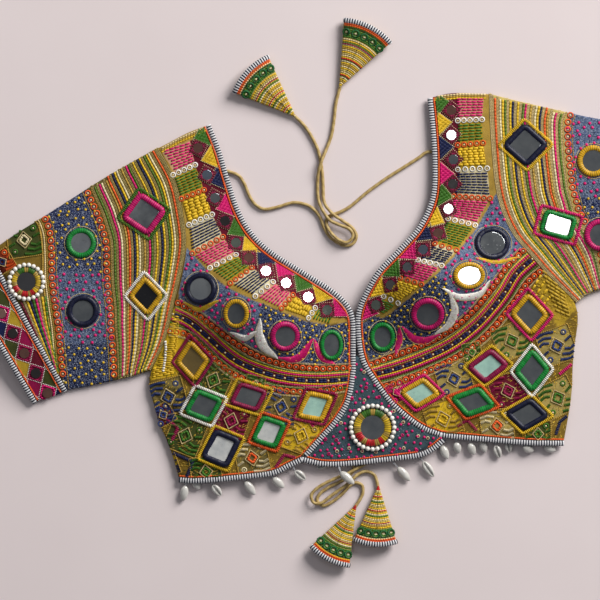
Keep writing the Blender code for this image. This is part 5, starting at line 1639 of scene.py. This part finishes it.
def sleeve(side, turn, seed, ground, gold, cells, fan_ground, fan_edges, fan_colours):
    """One sleeve's cloth and what is stitched on it, out to the fan of stripes by its cuff."""
    arm = EDGES["arm_" + side][:, :2]
    cloth = smooth_copy(f"sleeve_{side}_cloth", f"sleeve_{side}", cloth_finish)
    columns = [along_curve(places(*column), 2.0) for column in COLUMNS[side]]
    patches = [(colour, 1, field_patch(columns, high, low)) for colour, high, low in FIELDS[side]]
    striped = np.vstack([arm, columns[0][::-1]])
    dyed(cloth, [(ground, 0, striped), (ground, 0, places(*fan_ground))] + cell_patches(cells)
         + patches, "ochre")
    placed(cloth, "embroidered_sleeve", f"sleeve_{side}")
    work = works[f"sleeve_{side}"] = Needlework(cloth, seed, f"sleeve_{side}")
    work.braid(beside(arm, -turn * 1.3), gold, 2.6)
    first = beside(arm, -turn * 2.6)
    for k, colour in enumerate(SLEEVE_STRIPES):
        line = between(first, beside(columns[0], turn * 4.2), (k + 0.3) / len(SLEEVE_STRIPES), 90)
        work.stripe(line, colour, 2.2, 3.6, 1.9, 1.2, 1.12, gold=gold)
    for column in columns:
        work.eyelets(column, "orange", 3.5, "cream")
        for distance in (4.6, -4.6):
            work.line(beside(column, distance), "gold", 2.2, 1.1, 0.8)
    for colour, _, corners in patches:
        if colour == "navy":
            work.scatter(corners, 8.6, "yellow", 1.6)
            work.seeds(corners, ("slate", "navy", "mist", "blue"), 2600)
        else:
            work.scatter(corners, 8.6, "pink", 1.9)
            work.seeds(corners, ("mist", "blue", "teal", "slate"), 2800)
    for cell in cells:
        motif(work, *cell)
    borders(work)
    for distance, colour in ((6.6, "zari"), (9.0, "gold")):
        work.line(beside(columns[1], -turn * distance), colour, 1.8, 1.6, 1.0)
    for k, colour in enumerate(fan_colours):
        line = between(*(places(*edge) for edge in fan_edges), (k + 0.5) / len(fan_colours), 40)
        work.stripe(line, colour, 2.0, 5.0, 2.2, 1.2)
    work.finish(f"sleeve_{side}_embroidery", "embroidered_sleeve")


# The two sleeves carry the same embroidery; the left one's darker khaki ground and darker gold
# braid, against the right one's flax and zari, are painted shade on the side away from the key
# lamp.
sleeve("left", 1, 21, ground="khaki", gold="antique",
       cells=[(24, 240, 17.0, 8, "moss", "green", "cream"),
              (2, 262, 11.0, 32, "rust", "orange", "navy")],
       fan_ground=[(16, 302), (47, 292), (60, 382), (60, 390)],
       fan_edges=([(16, 302), (30, 328), (46, 358), (60, 386)],
                  [(47, 296), (49, 322), (54, 350), (60, 382)]),
       fan_colours=("navy", "maroon", "zari", "yellow", "navy", "green", "pink", "zari", "yellow",
                    "green"))
sleeve("right", -1, 22, ground="flax", gold="zari",
       cells=[(650, 143, 14.0, -8, "moss", "green", "cream")],
       fan_ground=[(640, 186), (670, 180), (682, 280), (672, 284)],
       fan_edges=([(642, 190), (652, 222), (668, 262), (676, 280)],
                  [(668, 184), (672, 214), (677, 244), (680, 276)]),
       fan_colours=("zari", "yellow", "green", "pink", "zari", "yellow", "green", "navy"))

# ---------------------------------------------------------------- cuffs and their pipings
# Each cuff is patchwork: squares set on their points down its middle, a chip of mirror in every
# one, and triangles of bright cloth between them. A striped piping rings it on both edges.
CUFF_HEIGHT, CUFF_CROWN = 5.0, 9.0
PITCH = 23.0
POINTS_AT = 0.72        # how far out the squares' side points reach, as a share of the half width
PATCH_COLOURS = ("maroon", "mustard", "moss", "navy", "wine", "navy", "moss", "maroon")
CUFFS = {"left": (places((-12, 254), (64, 390.5)), places((-42, 273), (34, 402)), 1),
         "right": (places((670, 125), (683, 276)), places((701, 125), (712, 271)), -1)}

edging_finish, dye, shader = finish_with("binding_cloth", Roughness=0.75)
striped = (dye.attribute("lay", "Fac") * (math.pi / WRAP_PITCH)).sine()
feed(shader, Base_Color=striped.kept(-0.4, 0.4).tint((*EDGE_COLOURS[1], 1), (*EDGE_COLOURS[0], 1)),
     Normal=dye.bump(striped, 0.6, 0.0006))


def crown(line):
    """A line across a cuff, raised to the flattened tube's crown."""
    plan = at_steps(line, 1.0)
    share = np.linspace(0, 1, len(plan))
    return np.column_stack([plan, CUFF_HEIGHT + CUFF_CROWN * np.sin(np.pi * share) ** 0.8])


def round_fold(path):
    """The same line carried a little way down over both folded edges."""
    ahead = headed(np.append((path[-1] - path[0])[:2], 0))
    ends = [[path[0] - ahead * 0.9 - (0, 0, 2.6), path[0] - ahead * 0.5 - (0, 0, 1.0)],
            [path[-1] + ahead * 0.5 - (0, 0, 1.0), path[-1] + ahead * 0.9 - (0, 0, 2.6)]]
    return np.vstack([ends[0], path, ends[1]])


def piping(name, line, node):
    """A striped piping right round the cuff: its cloth, then the thread turns on its upper side."""
    ring = smooth_copy(name + "_cloth", node, edging_finish)
    mark(ring.data, "lay", "FLOAT", points_of(ring.data)[:, :2] @ headed(line[1] - line[0]) / MM)
    placed(ring, "striped_binding", node)
    sew(name + "_wraps", turns_along(round_fold(crown(line))), binding_finish, "striped_binding",
        seed=5)


for side, (seam, hem, turn) in CUFFS.items():
    cuff = smooth_copy(f"cuff_{side}_cloth", f"cuff_{side}", cloth_finish, 2)
    along = (seam[1] - seam[0] + hem[1] - hem[0]) / 2
    long = norm(along)
    along /= long
    middle = (seam[0] + hem[0]) / 2
    outward = left_of(along)
    if outward @ (hem[0] - seam[0]) < 0:
        outward = -outward
    wide = abs(outward @ (hem[0] - seam[0])) / 2 - 3.2
    patches, squares = [], []
    for k in range(-1, int(long / PITCH) + 2):
        here = middle + along * PITCH * (k + 0.5)
        squares.append((here, [here + along * PITCH / 2, here + outward * wide * POINTS_AT,
                               here - along * PITCH / 2, here - outward * wide * POINTS_AT]))
        for sign in (1, -1):
            for end in (0, 1):
                start = here + along * PITCH * (end - 1) / 2
                stop, out = start + along * PITCH / 2, outward * sign * wide * 1.5
                patches.append((PATCH_COLOURS[((k + end) * 3 + 2 * (sign > 0)) % 8], 0,
                                [start, stop, stop + out, start + out]))
    patches += [("wine", 0, corners) for _, corners in squares]
    dyed(cuff, patches, "maroon")
    placed(cuff, "cuff_patchwork", f"cuff_{side}")
    work = Needlework(cuff, 30 + turn)
    for k, (here, corners) in enumerate(squares):
        for first, second in pairs(corners):
            work.knots(at_steps([first, second], 1.7), "white", 0.62, 0.8)
            step = headed(second - first)
            away = np.array([step[1], -step[0]])
            if away @ (here - first) < 0:
                away = -away
            work.line([first + away * 1.6 + step * 2, second + away * 1.6 - step * 2],
                      "pink" if k % 4 == 3 else "wine", 2.4, 1.6, 1.1)
        for sign in (1, -1):
            for end in (1, -1):
                a = here + outward * sign * wide * POINTS_AT
                b = here + along * PITCH * 0.5 * end + outward * sign * wide
                work.knots(at_steps([a, b], 1.8), "white", 0.6, 0.8)
        if work.surface(*here)[0]:
            chips.append((work, here, along, ("soot", "brown")[k % 2]))
    for line, sign in ((seam, 1), (hem, -1)):
        work.line([end + outward * sign * EDGE_ROW for end in line], "orange", 2.0, 1.5, 1.0)
    work.finish(f"cuff_{side}_embroidery", "cuff_patchwork")
    piping(f"cuff_seam_edging_{side}", seam, f"cuff_seam_piping_{side}")
    piping(f"cuff_hem_edging_{side}", hem, f"cuff_hem_piping_{side}")

# ---------------------------------------------------------------- cones on the ties
# Flattened cloth cones, one on the end of each tie: yellow cotton stitched across in rows, a
# thread-wrapped tip, green rings near the wide end and a striped binding round the open mouth.
# Each cone: apex, heading and half angle in degrees, length, and the tie it hangs from
CONES = {"neck_cone_left": ((-39, 179), 136.6, 22.2, 68, "neck_tie_left"),
         "neck_cone_right": ((4, 208), 63.5, 22.4, 70, "neck_tie_right"),
         "waist_cone_left": ((21.5, -208.5), 243, 20.5, 63, "waist_tie_left"),
         "waist_cone_right": ((43.5, -189), 266.8, 21, 61, "waist_tie_right")}
CONE_TIP, CONE_MOUTH, CONE_WALL, CONE_DEEP = 2.0, 6.0, 1.8, 12.0
CONE_SIDES = 72
RING_BAND = (0.725, 0.885)      # the part of a cone's length that the green rings lie on
CONE_ROWS = [("red", 0.20), ("red", 0.43), ("wine", 0.64), ("orange", 0.905), ("orange", 0.93)]
CONE_THREADS = ("yellow", "zari", "flax", "yellow", "cream", "gold", "yellow", "zari", "grass")


def cone_spot(name, share, turn, inset=0.0):
    """A point of a cone's wall: how far along it and how far round, from the top."""
    apex, heading, spread, length, _ = CONES[name]
    half = CONE_TIP + (CONE_MOUTH - CONE_TIP) * share - inset
    narrowed = 1 - inset / (length * share * 0.35 + 2)
    swing = math.radians(heading) + math.radians(spread) * math.sin(turn) * narrowed
    return (apex[0] + math.cos(swing) * length * share, apex[1] + math.sin(swing) * length * share,
            half + inset + 0.2 + half * math.cos(turn))


cone_pieces = {}
for name, (apex, heading, spread, length, tie) in CONES.items():
    shares = [(0.015, 0.0)] + [(0.03 + 0.97 * k / 28, 0.0) for k in range(29)]
    shares += [(1.0, CONE_WALL), (1 - CONE_DEEP * 0.5 / length, CONE_WALL),
               (1 - CONE_DEEP / length, CONE_WALL)]
    verts = [cone_spot(name, share, turn, inset)
             for share, inset in shares for turn in round_steps(CONE_SIDES)]
    piece = made(name + "_cloth", verts, tube(CONE_SIDES, len(shares)), cloth_finish)
    dyed(piece, [], "flax")
    placed(piece, "tassel_cone", name)
    reach = length * MM
    cone_pieces[tie] = piece
    work = Needlework(piece, 40 + len(cone_pieces))
    half_turn = np.linspace(-1.35, 1.35, 25)

    def across(share, turns=half_turn):
        return [cone_spot(name, share, turn)[:2] for turn in turns]

    for k in range(34):
        share = 0.03 + 0.86 * k / 33
        if share < RING_BAND[0] or share > RING_BAND[1]:
            plain = k > 2 or name.startswith("neck")
            work.line(across(share), CONE_THREADS[(k * 4 + len(cone_pieces)) % 9] if plain
                      else "red", 2.4, 1.5, 1.0)
    for colour, share in CONE_ROWS:
        work.line(across(share), colour, 2.4, 1.4, 1.4)
    for k in range(6):
        work.line(across(0.745 + 0.026 * k), ("green", "grass", "moss")[k % 3], 2.6, 1.7, 0.7)
    for spot in at_steps(across(0.81, np.linspace(-1.02, 1.02, 30)), count=4):
        work.eyelet(spot, "bottle", 4.5, "cream")
    seam_line = [cone_spot(name, share, 0.05)[:2] for share in (0.10, 0.5, 0.72)]
    work.line(seam_line, "moss", 3.0, 1.0, 1.5)
    work.finish(name + "_stitching", "tassel_cone")
    rim = [cone_spot(name, 0.972, t) for t in np.linspace(-1.5, 1.5, 60)]
    sew(name + "_rim", turns_along(rim, "low_wrap", 0.3), binding_finish, "tassel_cone", seed=7)
for tie, (piece, path) in ties.items():
    placed(piece, "tie_cord", tie)
    path[0] * MM
    steps_of(path).sum() * MM
    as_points(path * MM)

# ---------------------------------------------------------------- back pieces
# The back is cut plainer, from the same yellow cotton, and opens down the middle between its ties.
# It lies face down under the fronts; a few bands of colour cross it.
for side, area in (("left", 0.027), ("right", 0.036)):
    back = smooth_copy(f"back_{side}_cloth", f"back_{side}", cloth_finish)
    patches = []
    for colour, level in (("navy", 392), ("rust", 404), ("maroon", 416)):
        patches.append((colour, 0.3, places((0, level), (700, level), (700, level + 7),
                                            (0, level + 7))))
    dyed(back, patches, "ochre")
    placed(back, "back_cloth", f"back_{side}")

# ---------------------------------------------------------------- mirrors put in their places
# Every framed mirror on each piece of cloth, the pearl beads round the three large ones, and the
# chips along the neck edge and down the cuffs.
CHIP_REACH, CHIP_TURN = 5.3, 0.39
pearls = []
for cloth, work in works.items():
    pearls += mirrors_on(cloth, work)
bodies = []
for work, spot, run, glass in chips:
    turn = np.arange(9) * math.pi / 4 + CHIP_TURN
    outline = (spot + np.outer(np.cos(turn), run) * CHIP_REACH
               + np.outer(np.sin(turn), left_of(run)) * CHIP_REACH)
    bodies.append(glass_plate(work, outline, 1.3, glass))
verts, faces, colours = gathered(bodies)
placed(made("neck_mirror_chips", verts, faces, glass_finish, colours, smooth=False), "mirror_glass")
sew("pearl_beads", pearls, pearl_finish, "pearl_ring", 4, 0.0)

bpy.context.view_layer.update()
